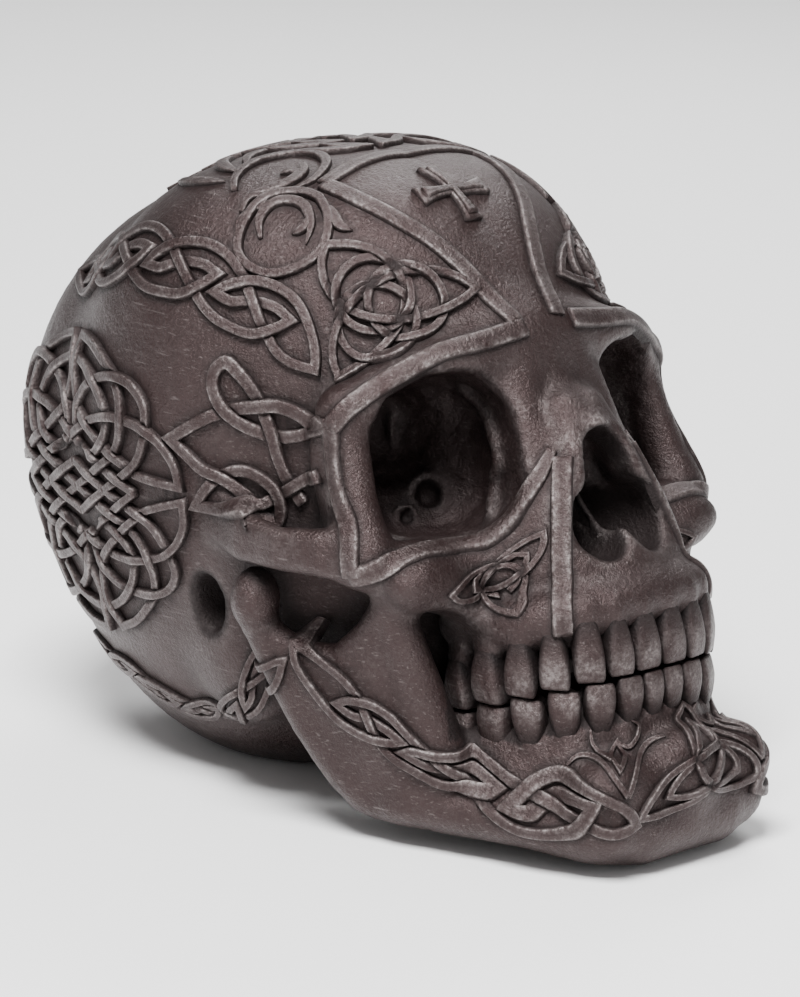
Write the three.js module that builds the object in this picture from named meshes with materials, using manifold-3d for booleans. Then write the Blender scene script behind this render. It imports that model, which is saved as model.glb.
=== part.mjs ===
// Cast skull ornament with knotwork, one solid. Millimetres, +Z up.
// The face looks along -Y, the skull stands on Z = 0 and is the same on both sides of X = 0.
// The form is a set of rounded shapes that are added and cut with soft joints. Each shape is a
// function that answers how far a point lies outside its skin, with a minus sign inside.
// A shape of one side is given for +X and mirrored. The points of a cord or a sheet are
// [x, y, z, radius].
import * as THREE from "three";
import Module from "manifold-3d";

// Braincase
const VAULT = { centre: [0, 17.5, 66], radii: [51.3, 63.8, 58.8], turn: [-14.5, 0, 0] };
const OCCIPUT = { centre: [0, 54.8, 61.8], radii: [38.5, 35.8, 43.9] };
const NAPE = { centre: [0, 27, 32.7], radii: [39.9, 43.6, 36.4] };
const FOREHEAD = { centre: [10.7, -2.6, 95.5], radii: [24.9, 20.4, 25.6] };
const CROWN_SIDE = { centre: [25, 20.8, 88.1], radii: [24.5, 27.3, 31.8] };
const BRAINCASE_BLEND = 14;
const TEMPLE_HOLLOW = { centre: [56.5, -22.5, 72], radii: [13.8, 20.5, 20] };
const MASTOID = { centre: [37, 2, 30], radii: [6.5, 10, 13] };
const EAR_HOLE = { centre: [47, 5.8, 41], radii: [9.5, 3.4, 6] };

// Brow and the rims of the eye sockets
const GLABELLA = { centre: [0, -31, 92], radii: [10, 8, 9] };
const BROW = [
  [0, -33, 94, 5], [10, -34, 94.8, 5], [21, -33.6, 93, 5], [31, -30, 89.5, 5], [40, -24.5, 84, 5],
];
const OUTER_RIM = [[40, -24.5, 84, 4.8], [41, -27.4, 76, 4.3], [42.4, -31, 67, 4.5], [43.8, -35, 58.5, 5]];
const LOWER_RIM = [
  [43.6, -35, 58, 4.8], [37, -37.8, 56.2, 4.5],
  [29, -40.5, 55.6, 4.4], [21, -44, 57, 4.2], [15, -46.5, 64, 4],
];
const INNER_RIM = [[6.5, -36, 90, 5.2], [9.5, -40.5, 82, 4.6], [12, -44.5, 73, 4], [15, -46.5, 64, 4.2]];
const SIDE_WALL = [[41, -21.5, 78, 3.2], [41.2, -23, 70, 3.4], [41.8, -25.5, 62.5, 3.2]];
const SOCKET = { centre: [25, -35, 75.5], half: [13.8, 17, 15.6], round: 11, turn: [-14, 0, 20] };
const SOCKET_BACK = { centre: [21.8, -22.5, 76], radii: [10, 13.5, 10.6] };

// Nose
const NOSE_RIDGE = [[0, -34.5, 90, 5.5], [0, -41, 85, 4.4], [0, -47.5, 81.8, 3.8], [0, -52.5, 79.4, 3.2]];
const NOSE_RIM = [
  [3.5, -46, 82.5, 4.2], [6, -52.5, 76, 2.8], [9.8, -55.5, 68, 2.6], [13, -57, 60, 3], [11.5, -59, 54, 4.4],
];
const NOSE_WALL_FRONT = [[6, -38, 86, 4], [8, -48, 76, 3.4], [12, -53, 66, 3.4], [13, -56, 56, 4]];
const NOSE_WALL_BACK = [[10, -39, 84, 4], [13, -44, 74, 3.6], [17, -46, 64, 3.6], [20, -48, 54, 4]];
const NOSTRIL = { centre: [6.1, -57, 63], radii: [5.6, 17, 7.2], turn: [-12, 14, 0] };
const NOSE_TOP = { centre: [0, -55, 71.5], radii: [6.4, 16, 9.6], turn: [-14, 0, 0] };
const SEPTUM = [[0, -44, 71, 0.9], [0, -49, 65, 1], [0, -55.5, 59.5, 1.1], [0, -62.6, 54.5, 1.6]];

// Cheek and the arch behind it
const CHEEK = { centre: [33, -39, 54.4], radii: [12.8, 7, 6.2], turn: [0, 0, -28] };
const CHEEK_ROOT = [[37, -41, 53, 4.2], [30, -44, 49.5, 5], [24.5, -46, 43.5, 4.6]];
const ARCH_TOP = [
  [43, -34.5, 61, 3.4], [48.6, -28.5, 60.8, 2.7], [51, -19, 60, 2.4],
  [50.6, -9, 60.4, 2.7], [46.5, 1, 62, 3.4],
];
const ARCH_LOW = [
  [43.5, -36.5, 55.8, 3.4], [49.2, -29, 57, 2.6], [51.2, -19, 56.4, 2.4],
  [50.8, -9, 56.2, 2.6], [47, 1, 57.5, 3.2],
];
const HOLLOW_ABOVE_ARCH = { centre: [49.6, -17, 64], radii: [6.6, 11.8, 10.6], turn: [0, 0, -10] };
const HOLLOW_BELOW_ARCH = { centre: [44, -23, 46], radii: [8, 12, 13] };

// Upper jaw
const UPPER_JAW = { centre: [0, -45, 51.5], radii: [22.5, 22, 16] };
const UPPER_GUM = [
  [0, -66, 50, 4.8], [9, -65.2, 49.5, 4.8], [17, -61, 48, 5], [21.8, -52, 45.5, 5], [22.8, -41, 43, 4.8],
];
const CHEEK_HOLLOW = { centre: [34, -46, 37], radii: [9, 9, 11.5] };

// Lower jaw
const BODY_TOP = [
  [0, -70, 26, 4], [9, -69, 25.6, 4], [17, -65, 24.5, 4],
  [21.5, -55, 21.5, 4], [25, -45, 20, 4], [31, -40, 22, 3.6],
];
const BODY_LOW = [
  [0, -76.5, 8, 6.5], [10, -76, 7.5, 6.5], [19.5, -71.5, 8.4, 6],
  [24.5, -60, 9, 5.5], [29.5, -47, 8.8, 5.2], [33.2, -37, 9, 5],
];
const CHIN = { centre: [0, -74.5, 13.2], half: [24, 7, 9.8], round: 6.5, turn: [0, 0, 0] };
const CHIN_KNOB = { centre: [0, -76.8, 17], radii: [9, 6.8, 9] };
const RAMUS_TOP = [
  [39.8, -38.5, 51, 2.8], [41, -34, 43, 3], [42.2, -28, 36.5, 3.2],
  [44, -20, 35.5, 3.2], [46.8, -12.5, 38.5, 3],
];
const RAMUS_LOW = [
  [30, -45.5, 18, 4.2], [32.5, -39, 9.5, 4.6], [34.5, -32, 8.5, 4.6],
  [37.5, -25.5, 13, 4.2], [41.5, -18.5, 23, 3.6],
];
const RAMUS_BACK = [
  [36, -29, 9.5, 4.4], [39.5, -22.5, 17, 4], [43.5, -15.5, 28, 3.6], [47.5, -11, 40, 3.6],
];
const RAMUS_FRONT = [[30, -45, 17, 4.6], [35, -41.5, 30, 3.8], [38, -39.5, 42, 3.4], [40, -37.5, 53, 3.6]];
const CONDYLE = { centre: [49, -10.5, 46], radii: [4.8, 4.8, 6.4] };

// Filling behind the teeth, which makes the casting one body
const PALATE = { centre: [0, -42, 38], radii: [19, 24, 17] };
const THROAT = { centre: [0, -14, 30], radii: [33, 32, 27] };
const TONGUE = { centre: [0, -47, 18], radii: [18, 24, 11] };

// Teeth, from the middle of the mouth to the back, along a squarish curve
const UPPER_ROW = {
  half: 26, depth: 33, back: -38.2, bend: 3.1, up: 1, lean: 0.13,
  widths: [7.2, 6.3, 6.6, 6.4, 7, 8.2, 6.4], heights: [8.6, 8.5, 9.4, 8.4, 8, 7.6, 7],
};
const LOWER_ROW = {
  half: 25.2, depth: 32.8, back: -38.6, bend: 3, up: -1, lean: -0.1,
  widths: [5.4, 6.2, 6.6, 6.8, 7.4, 8.4, 7.2], heights: [6.8, 7, 7.4, 7.2, 7, 6.8, 6.4],
};
const BITE = { front: -70.5, height: 36.9, fall: 0.36, gap: 0.4 };

// Knotwork. A strand is a band with sloping sides that stands out of the skin and is rooted in it.
// A motif lies flat on a patch of skin, as [u, v] from its middle: u toward the back, v up.
// The patch is wrapped round the skull as seen from a point inside.
const STRAND = { width: 2.6, height: 1.3, root: 1.5, crown: 0.55, step: 5, lap: 0.4 };
const HEART = [0, 20, 62];

// One unit of a braid, as [part of the unit's length, part of the guide's width]. The strand runs
// over the next unit to a point, doubles back to its first point and goes on from there.
const BRAID_ARCH = [
  [0, 0], [0.1, 0.15], [0.33, 0.32], [0.6, 0.41], [0.85, 0.41], [1.08, 0.34], [1.33, 0.2], [1.6, 0.01],
  [1.85, -0.14], [2.1, -0.23], [2.35, -0.23], [2.62, -0.17], [2.82, 0.02], [2.92, 0.18],
];
const BRAID_RETURN = [[0.92, 0.18], [0.7, 0.2], [0.42, 0.12], [0.22, 0], [0, 0]];
const BRAID_LAST = [
  [0, 0], [0.12, 0.15], [0.35, 0.32], [0.64, 0.39], [0.9, 0.36], [1.15, 0.22], [1.33, 0.05], [1.42, -0.1],
];
const BRAID_LAST_BUT_ONE = [
  [0, 0], [0.1, 0.15], [0.33, 0.32], [0.6, 0.41], [0.85, 0.41], [1.08, 0.34], [1.33, 0.2], [1.6, 0.01],
  [1.8, -0.1], [2, -0.18], [2.2, -0.18], [2.42, -0.1],
];

// The guide of a braid gives [u, v, width] for the start of each unit, and one more at either end.
const SIDE_BRAID = {
  from: HEART, at: [44.7, 14.2, 105.8], width: 2.6,
  guide: [
    [62, 6, 17], [44.5, 5, 17], [27, 3.2, 17.6], [9.4, 0.9, 17.6], [-8.7, -1.9, 17.6], [-26.2, -5.7, 18],
    [-43, -9.6, 18],
  ],
};
const JAW_BRAID = {
  from: [-40, 20, 60], at: [34.5, -47.2, 17.6], width: 2.2,
  guide: [[45, 16.5, 21], [21, 10, 17], [6.75, 2.8, 10], [-10.7, -2.6, 9], [-26.5, 2, 12], [-41, 4.8, 12]],
};

// Knots of three points. Each arc passes the middle by a part of the way to the third tip.
const FOREHEAD_KNOT = {
  from: [0, 0, 75], at: [28.2, -24.7, 102.8], width: 2.4, passBy: 0.23,
  tips: [[12.9, 11.8], [9.6, -14], [-16.3, 7.6]],
  rings: [[2.7, -2.8, 7.6], [-2.7, 1.8, 7.5], [3.7, 2.7, 7.1]],
};
const CHIN_KNOT = {
  from: [0, -50, 18], at: [0, -83.5, 18.9], width: 2.2, passBy: 0.2,
  tips: [[6.8, 14], [-15.4, -6.2], [17, -4.5]], rings: [],
};
const CHEEK_KNOT = {
  from: [5, -20, 50], at: [22.8, -50.9, 55.4], width: 1.8, passBy: 0.3,
  tips: [[9.9, -3.3], [-1, -6.5], [-7.2, 6.7]], rings: [],
};
const TEMPLE_KNOT = {
  from: HEART, at: [45.2, -6.5, 71.7], width: 2.6, behindArch: true,
  arcs: [
    [[18.2, 3], [11.1, 6.9], [5.2, 9.3], [0.9, 10.1], [-3.6, 10.6], [-8.1, 9.3], [-12.1, 6.7]],
    [
      [-12.1, 6.7], [-8.7, 5.8], [-4.5, 5.2], [-0.2, 5.9], [3.7, 7.3], [6.8, 9.5], [8.7, 12.7], [8.4, 15.8],
      [6.3, 17.3], [3.8, 15.6], [0.9, 12.8], [-1.4, 8.9],
      [-3.1, 5.2], [-4.4, 1.2], [-6.8, -3.3], [-9.7, -6.8],
    ],
    [[-12.5, -0.8], [-9.1, -2.8], [-5.2, -5.6], [-0.9, -8.2], [1.6, -8.4], [6.1, -9.4], [12.4, -9.8]],
    [
      [12.4, -9.8], [9.5, -5.4], [6.3, -2.7], [2.6, -1.8],
      [-1.1, -3], [-4, -5.1], [-5.3, -8.2], [-4.6, -11],
      [-1.4, -10.1], [1.4, -7.5], [4.1, -5.3], [7.5, -3.4], [11.1, -2.2], [14.4, 0.2], [18.2, 3],
    ],
  ],
};
const SCROLL = {
  from: HEART, at: [33.9, -0.5, 115.1], width: 2.6,
  arcs: [
    [
      [-5.4, 7.4], [-8, 3.2], [-8.9, -2.2], [-7.6, -6], [-3.7, -8.9], [0.9, -10], [5.4, -8.5], [8, -5.7],
      [8.6, -2], [7.9, 1.9], [6.8, 5.3], [4.6, 7.9], [1.6, 9], [-2.2, 9], [-5.4, 7.4],
    ],
    [
      [12.5, 9.9], [13.6, 14.1], [12.7, 20.4], [9.9, 25.2], [5.4, 28.4], [0.4, 27], [-3, 22], [-3.4, 15.8],
      [-1.6, 12.1], [1.8, 9.9],
    ],
    [[4.1, -2.6], [5.2, 1.1], [4.5, 4.4], [2.4, 6.5], [-0.9, 6.5], [-3.5, 4.6], [-5.3, 0.6], [-5.2, -3.6]],
    [[8.5, 8.6], [4.6, 10.4], [1.6, 13], [0.4, 17], [1.8, 21.5]],
    [[14.2, 17], [18.6, 21], [21, 26.4], [21.4, 33]],
    [[15.6, 13.4], [20.8, 14.6], [26, 17.6], [30.6, 22.4]],
  ],
};
// One quarter of the round knot at the back, x toward the face and y up. It is mirrored both ways.
const ROUNDEL = {
  from: HEART, at: [46.6, 44.1, 57.8], width: 2.6, turn: 8,
  arcs: [
    [
      [3.4, 28.6], [9.8, 27.4], [15.7, 24.6], [19.6, 21.6],
      [21.4, 17.4], [21, 12.6], [18.4, 8.4], [12.6, 5.2], [0, 0],
    ],
    [
      [3.4, 28.6], [1.4, 24.8], [0.9, 21], [3.7, 15.6],
      [8.8, 11.9], [14.1, 9], [20, 6], [25.2, 3.6], [35.6, 1.6],
    ],
    [
      [35.6, 1.6], [35, 6.2], [32, 10.4], [27.5, 13.2],
      [23, 14.3], [17.6, 14.8], [10.9, 14], [5, 12.2], [0, 10],
    ],
    [
      [28.4, 14], [28.1, 17.7], [24.6, 21], [19.5, 22.2], [12.7, 21.4], [6.4, 19], [2.4, 14.6], [2.6, 9.6],
      [6.6, 7], [11.4, 8], [15, 11], [16.1, 14.8], [13, 19.7], [7.8, 23], [0, 25],
    ],
    [[28.4, 14], [27.4, 10.4], [25.4, 7], [21.4, 4.2], [12, 0]],
    [[12, 0], [6, 2.5], [0, 5]],
    [[0, 10], [12, 5], [22.6, 0]],
  ],
};

// Straps. Their places [x, y, z] are moved onto the skin. The panel stands a little to one side.
const PANEL_SHIFT = -2.5;
const PANEL_SIDE = [
  [20.2, 0.3, 122.1], [19, -9.5, 120], [16, -17.1, 116.9], [12.2, -23, 113], [8.8, -28.8, 107.6],
  [6.6, -33.7, 102.7], [5.4, -37.8, 99.4],
];
const PANEL_TOP = [[20.2, 0.3, 122.1], [10, 1, 125], [0, 1.5, 125.5], [-10, 1, 125], [-20.2, 0.3, 122.1]];
const PANEL_WIDTH = 3.6;
const BROW_STRAP = {
  width: 4.2,
  line: [
    [45.2, -26.3, 82.3], [43.2, -28.5, 86.2], [38.6, -30.4, 89.4], [33.2, -33.1, 92.8], [25.9, -35.6, 95.9],
    [17.4, -37.8, 97.2], [6.5, -38.6, 98.5],
  ],
};
const TEMPLE_STRAP = {
  width: 4,
  line: [[45.2, -26.1, 84], [45.3, -26.9, 76.1], [46.2, -30.2, 69.2], [47.6, -34.3, 64.4], [48.9, -36.6, 56]],
};
const ORBIT_STRAP = {
  width: 4.2,
  line: [
    [48.9, -36.2, 55.7], [47.6, -38.8, 56.6], [41.5, -42, 59.1], [34.4, -42.8, 60.2], [25.8, -43, 60],
    [22.3, -46.7, 61.5], [18, -49.2, 66.6], [13.7, -50.8, 72.7], [10.1, -50.6, 77.2],
  ],
};
const NOSE_STRAP = {
  width: 4,
  line: [
    [9.5, -52.9, 76.2], [11.1, -54.4, 72.2], [14, -57.3, 65.5], [16.1, -59.6, 58.5], [19.3, -63.1, 51.9],
    [20.2, -64.3, 45.7],
  ],
};
const STRAP_HEIGHT = 0.9;
const CROSS = {
  middle: [-3.2, -14.8, 120.6], arm: [8.6, 0, 0], post: [0, 6.9, 3.9], waist: 2.6, end: 5, height: 1.5, step: 2.6,
};

// Underside, cut flat on the ground. Points left lower than GROUNDED are put on it.
const BASE_ROUND = 1.2;
const GROUNDED = 0.15;

// Meshing: the box that holds the form, the grid cell, the middle of its length, which becomes
// Y = 0 in the finished part, and the number of triangles kept
const BOX_LOW = [-60, -90, -3];
const BOX_HIGH = [60, 94, 131];
const CELL = 1.8;
const MIDDLE_Y = 3.2;
const FORM_TRIANGLES = 6000;
const ALL_TRIANGLES = 9900;

const DEGREE = Math.PI / 180;
const NEAR = 15;
const OUTSIDE = 110;

const minus3 = (a, b) => [a[0] - b[0], a[1] - b[1], a[2] - b[2]];
const dot = (a, b) => a[0] * b[0] + a[1] * b[1] + a[2] * b[2];
const cross = (a, b) => [
  a[1] * b[2] - a[2] * b[1],
  a[2] * b[0] - a[0] * b[2],
  a[0] * b[1] - a[1] * b[0],
];
const along = (a, step, d) => [a[0] + step * d[0], a[1] + step * d[1], a[2] + step * d[2]];
const unit = (a) => along([0, 0, 0], 1 / Math.hypot(...a), a);

// The smaller of two distances, with a soft joint of the given reach.
function softMin(a, b, blend) {
  const overlap = Math.max(blend - Math.abs(a - b), 0) / blend;
  return Math.min(a, b) - (overlap * overlap * blend) / 4;
}

function plus(blend, ...shapes) {
  return (x, y, z) => {
    let d = shapes[0](x, y, z);
    for (let i = 1; i < shapes.length; i++) {
      const next = shapes[i](x, y, z);
      d = blend > 0 ? softMin(d, next, blend) : Math.min(d, next);
    }
    return d;
  };
}

function minus(blend, base, ...cuts) {
  return (x, y, z) => cuts.reduce((d, cut) => -softMin(-d, cut(x, y, z), blend), base(x, y, z));
}

const both = (shape) => (x, y, z) => shape(Math.abs(x), y, z);

// The three axes of a shape turned about X, then Y, then Z.
function axes(turn = [0, 0, 0]) {
  const order = new THREE.Euler(turn[0] * DEGREE, turn[1] * DEGREE, turn[2] * DEGREE, "ZYX");
  const m = new THREE.Matrix4().makeRotationFromEuler(order).elements;
  return [[m[0], m[1], m[2]], [m[4], m[5], m[6]], [m[8], m[9], m[10]]];
}

// Far from a shape the distance to a ball round it is answer enough, and quicker.
function within(points, shape) {
  const centre = [0, 1, 2].map((k) => points.reduce((sum, p) => sum + p[k], 0) / points.length);
  const reach = Math.max(...points.map((p) => Math.hypot(...minus3(p, centre)) + p[3]));
  return (x, y, z) => {
    const far = Math.hypot(x - centre[0], y - centre[1], z - centre[2]) - reach;
    return far > NEAR ? far : shape(x, y, z);
  };
}

function ellipsoid({ centre, radii, turn }) {
  const [u, v, w] = axes(turn);
  const [a, b, c] = radii;
  return within([[...centre, Math.max(...radii)]], (x, y, z) => {
    const d = [x - centre[0], y - centre[1], z - centre[2]];
    const [p, q, r] = [dot(u, d), dot(v, d), dot(w, d)];
    const scaled = Math.hypot(p / a, q / b, r / c);
    const slope = Math.hypot(p / (a * a), q / (b * b), r / (c * c));
    return scaled < 1e-6 ? -Math.min(a, b, c) : (scaled * (scaled - 1)) / slope;
  });
}

function block({ centre, half, round, turn }) {
  const [u, v, w] = axes(turn);
  return within([[...centre, Math.hypot(...half)]], (x, y, z) => {
    const d = [x - centre[0], y - centre[1], z - centre[2]];
    const p = Math.abs(dot(u, d)) - half[0] + round;
    const q = Math.abs(dot(v, d)) - half[1] + round;
    const r = Math.abs(dot(w, d)) - half[2] + round;
    const outside = Math.hypot(Math.max(p, 0), Math.max(q, 0), Math.max(r, 0));
    return outside + Math.min(Math.max(p, q, r), 0) - round;
  });
}

function rod(a, b) {
  const ab = minus3(b, a);
  const length2 = dot(ab, ab);
  return (x, y, z) => {
    const d = [x - a[0], y - a[1], z - a[2]];
    const h = Math.min(1, Math.max(0, dot(d, ab) / length2));
    return Math.hypot(...along(d, -h, ab)) - (a[3] + (b[3] - a[3]) * h);
  };
}

// A smooth line through the points, with three more between each two.
function smooth(points, steps = 4) {
  const p = [points[0], ...points, points[points.length - 1]];
  const line = [];
  for (let i = 1; i < p.length - 2; i++) {
    for (let s = 0; s < steps; s++) {
      const t = s / steps;
      line.push(p[i].map((v, k) => {
        const [a, b, c] = [p[i - 1][k], p[i + 1][k], p[i + 2][k]];
        return v + 0.5 * t * (b - a + t * (2 * a - 5 * v + 4 * b - c + t * (3 * v - a - 3 * b + c)));
      }));
    }
  }
  return [...line, points[points.length - 1]];
}

function cord(points) {
  const line = smooth(points);
  return within(line, plus(0, ...line.slice(1).map((b, i) => rod(line[i], b))));
}

// One triangle of a sheet, thickened by the radii of its corners.
function web([a, b, c]) {
  const [ab, bc, ca] = [minus3(b, a), minus3(c, b), minus3(a, c)];
  const n = cross(ab, minus3(c, a));
  const n2 = dot(n, n);
  const outward = [cross(ab, n), cross(bc, n), cross(ca, n)];
  const edges = plus(0, rod(a, b), rod(b, c), rod(c, a));
  return (x, y, z) => {
    const p = [x, y, z];
    const [pa, pb, pc] = [minus3(p, a), minus3(p, b), minus3(p, c)];
    if (dot(outward[0], pa) > 0 || dot(outward[1], pb) > 0 || dot(outward[2], pc) > 0) return edges(x, y, z);
    const wa = dot(cross(bc, pb), n) / n2;
    const wb = dot(cross(ca, pc), n) / n2;
    return Math.abs(dot(n, pa)) / Math.sqrt(n2) - (wa * a[3] + wb * b[3] + (1 - wa - wb) * c[3]);
  };
}

function sheet(top, low) {
  const webs = [];
  for (let i = 0; i + 1 < top.length; i++) {
    webs.push(web([top[i], top[i + 1], low[i]]), web([low[i], top[i + 1], low[i + 1]]));
  }
  return within([...top, ...low], plus(0, ...webs));
}

function braincase() {
  const lobes = [VAULT, OCCIPUT, NAPE, FOREHEAD, CROWN_SIDE].map(ellipsoid);
  return both(plus(8, plus(BRAINCASE_BLEND, ...lobes), ellipsoid(GLABELLA)));
}

function socketRims() {
  return both(plus(2, cord(OUTER_RIM), cord(LOWER_RIM), cord(INNER_RIM), cord(SIDE_WALL)));
}

function socket() {
  return both(plus(2, block(SOCKET), ellipsoid(SOCKET_BACK)));
}

function noseBones() {
  const side = plus(2, cord(NOSE_RIM), sheet(NOSE_WALL_FRONT, NOSE_WALL_BACK));
  return plus(3, both(side), cord(NOSE_RIDGE));
}

function noseOpening() {
  return plus(2.5, both(ellipsoid(NOSTRIL)), ellipsoid(NOSE_TOP));
}

function cheeks() {
  return both(plus(5, ellipsoid(CHEEK), cord(CHEEK_ROOT)));
}

function lowerJawBody() {
  return plus(3, both(sheet(BODY_TOP, BODY_LOW)), block(CHIN), ellipsoid(CHIN_KNOB));
}

function lowerJawBranches() {
  const plate = plus(1.5, sheet(RAMUS_TOP, RAMUS_LOW), cord(RAMUS_BACK), cord(RAMUS_FRONT));
  return both(plus(2, plate, ellipsoid(CONDYLE)));
}

// A tooth: a crown standing on the bite plane and a root that narrows into the jaw.
function tooth(row, i, [x, y], yaw) {
  const [outX, outY] = [Math.sin(yaw), -Math.cos(yaw)];
  const width = row.widths[i];
  const height = row.heights[i];
  const extra = i > 4 ? 1.2 : 0;
  const bite = BITE.height - BITE.fall * (y - BITE.front) + BITE.gap * row.up;
  const spot = (rise, inset, radius) => [
    x - outX * inset, y - outY * inset + row.lean * rise, bite + row.up * rise, radius,
  ];
  const crown = block({
    centre: spot(height * 0.34, 1.6 + extra, 0).slice(0, 3),
    half: [width * 0.46, 2.7 + extra, height * 0.34], round: 1.9, turn: [0, 0, yaw / DEGREE],
  });
  const root = rod(spot(2.8, width * 0.34, width * 0.44), spot(height + 1, width * 0.3, width * 0.33));
  return within([spot(height / 2, 0, height)], plus(2, crown, root));
}

function toothRow(row) {
  const at = (t) => [
    row.half * Math.sin(t) ** (2 / row.bend),
    row.back - row.depth * Math.cos(t) ** (2 / row.bend),
  ];
  const step = 0.0005;
  let t = 0;
  let run = 0;
  let target = 0;
  const teeth = row.widths.map((width, i) => {
    target += width / 2;
    while (run < target && t < 1.55) {
      const [from, to] = [at(t), at(t + step)];
      run += Math.hypot(to[0] - from[0], to[1] - from[1]);
      t += step;
    }
    target += width / 2;
    const [before, after] = [at(t - step), at(t + step)];
    return tooth(row, i, at(t), Math.atan2(after[1] - before[1], after[0] - before[0]));
  });
  return both(plus(0, ...teeth));
}

// The whole form, without its knotwork.
function skullForm() {
  let form = minus(7, braincase(), both(ellipsoid(TEMPLE_HOLLOW)));
  form = plus(4, form, both(cord(BROW)));
  form = plus(5, form, cheeks(), ellipsoid(UPPER_JAW));
  form = plus(3, form, noseBones());
  form = plus(2.5, form, socketRims());
  form = minus(3, form, both(ellipsoid(HOLLOW_ABOVE_ARCH)), both(ellipsoid(HOLLOW_BELOW_ARCH)));
  form = plus(3, form, both(sheet(ARCH_TOP, ARCH_LOW)), both(cord(UPPER_GUM)));
  form = minus(1.6, form, socket());
  form = minus(3, form, both(ellipsoid(CHEEK_HOLLOW)));
  form = plus(3, form, lowerJawBody());
  form = plus(4, form, plus(8, ellipsoid(PALATE), ellipsoid(THROAT), ellipsoid(TONGUE)));
  form = plus(2, form, lowerJawBranches());
  form = minus(1.2, form, noseOpening());
  form = plus(1, form, toothRow(UPPER_ROW), toothRow(LOWER_ROW));
  form = plus(1, form, cord(SEPTUM));
  form = plus(9, form, both(ellipsoid(MASTOID)));
  form = minus(1.5, form, both(ellipsoid(EAR_HOLE)));
  return (x, y, z) => -softMin(-form(x, y, z), z, BASE_ROUND);
}

// The direction square to the skin.
function normalAt(form, point) {
  const step = 0.7;
  return unit([0, 1, 2].map((k) => {
    const more = [...point];
    const less = [...point];
    more[k] += step;
    less[k] -= step;
    return form(...more) - form(...less);
  }));
}

// The place where a ray from a point inside meets the skin. It is looked for from far outside, or
// from inside where something else, such as the arch beside the temple, stands in front.
function skinPoint(form, inside, ray, outward) {
  const sign = outward ? 1 : -1;
  const closeEnough = 0.02;
  let reach = outward ? 1 : OUTSIDE;
  for (let i = 0; i < 300 && reach > 0; i++) {
    const d = -sign * form(...along(inside, reach, ray));
    if (d < closeEnough) break;
    reach += sign * Math.max(0.8 * d, closeEnough);
  }
  const point = along(inside, reach, ray);
  return { point, normal: normalAt(form, point) };
}

// Places [u, v] of a patch on the skin.
function onPatch(form, { from, at, behindArch }) {
  const out = unit(minus3(at, from));
  const up = unit(along([0, 0, 1], -out[2], out));
  const back = cross(up, out);
  const distance = Math.hypot(...minus3(at, from));
  return ([u, v]) => {
    const run = Math.hypot(u, v) || 1e-9;
    const side = along(along([0, 0, 0], u / run, back), v / run, up);
    const ray = along(along([0, 0, 0], Math.cos(run / distance), out), Math.sin(run / distance), side);
    return skinPoint(form, from, ray, behindArch);
  };
}

// Places [x, y, z] moved square onto the skin.
function onBone(form) {
  return (place) => {
    let point = place;
    for (let i = 0; i < 6; i++) point = along(point, -form(...point), normalAt(form, point));
    return { point, normal: normalAt(form, point) };
  };
}

// Points at even steps along a smooth line.
function evenly(points, step) {
  const line = smooth(points, 8);
  const run = [0];
  for (let i = 1; i < line.length; i++) {
    run.push(run[i - 1] + Math.hypot(...line[i].map((v, k) => v - line[i - 1][k])));
  }
  const count = Math.max(2, Math.round(run[run.length - 1] / step));
  const even = [];
  for (let i = 0, at = 1; i <= count; i++) {
    const target = (run[run.length - 1] * i) / count;
    while (at < run.length - 1 && run[at] < target) at++;
    const t = (target - run[at - 1]) / (run[at] - run[at - 1] || 1);
    even.push(line[at].map((v, k) => line[at - 1][k] + t * (v - line[at - 1][k])));
  }
  return even;
}

// The solids of one strand along a line of places. Where it would cross itself a new solid begins.
function strand(place, line, { width, height = STRAND.height, end = 1, step = STRAND.step }) {
  const spots = evenly(line, step).map(place);
  const last = spots.length - 1;
  const sections = spots.map(({ point, normal }, i) => {
    const run = unit(minus3(spots[Math.min(i + 1, last)].point, spots[Math.max(i - 1, 0)].point));
    const side = unit(cross(run, normal));
    const half = (width / 2) * (1 + (end - 1) * Math.abs((2 * i) / last - 1) ** 1.5);
    return { point, run, side, up: cross(side, run), half };
  });
  const corners = ({ point, run, side, up, half }, shift) => {
    const middle = along(point, shift, run);
    return [[-1, -1], [1, -1], [STRAND.crown, 1], [-STRAND.crown, 1]].map(([across, rise]) => (
      along(along(middle, across * half, side), rise > 0 ? height : -STRAND.root, up)));
  };
  const solids = [];
  const close = (part) => {
    const points = part.flatMap((section, i) => (
      corners(section, i === 0 ? -STRAND.lap : i === part.length - 1 ? STRAND.lap : 0)));
    const triangles = [[0, 1, 2], [0, 2, 3]];
    for (let i = 0; i + 1 < part.length; i++) {
      for (let k = 0; k < 4; k++) {
        const [a, b] = [4 * i + k, 4 * i + ((k + 1) % 4)];
        triangles.push([a, a + 4, b], [b, a + 4, b + 4]);
      }
    }
    const e = points.length - 4;
    triangles.push([e, e + 2, e + 1], [e, e + 3, e + 2]);
    solids.push({ points, triangles });
  };
  let part = [sections[0]];
  for (let i = 1; i <= last; i++) {
    const near = part.slice(0, -3).some(({ point }) => (
      Math.hypot(...minus3(point, sections[i].point)) < width + 1.6));
    if (near && part.length > 1) {
      close(part);
      part = [sections[i - 1]];
    }
    part.push(sections[i]);
  }
  close(part);
  return solids;
}

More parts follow.
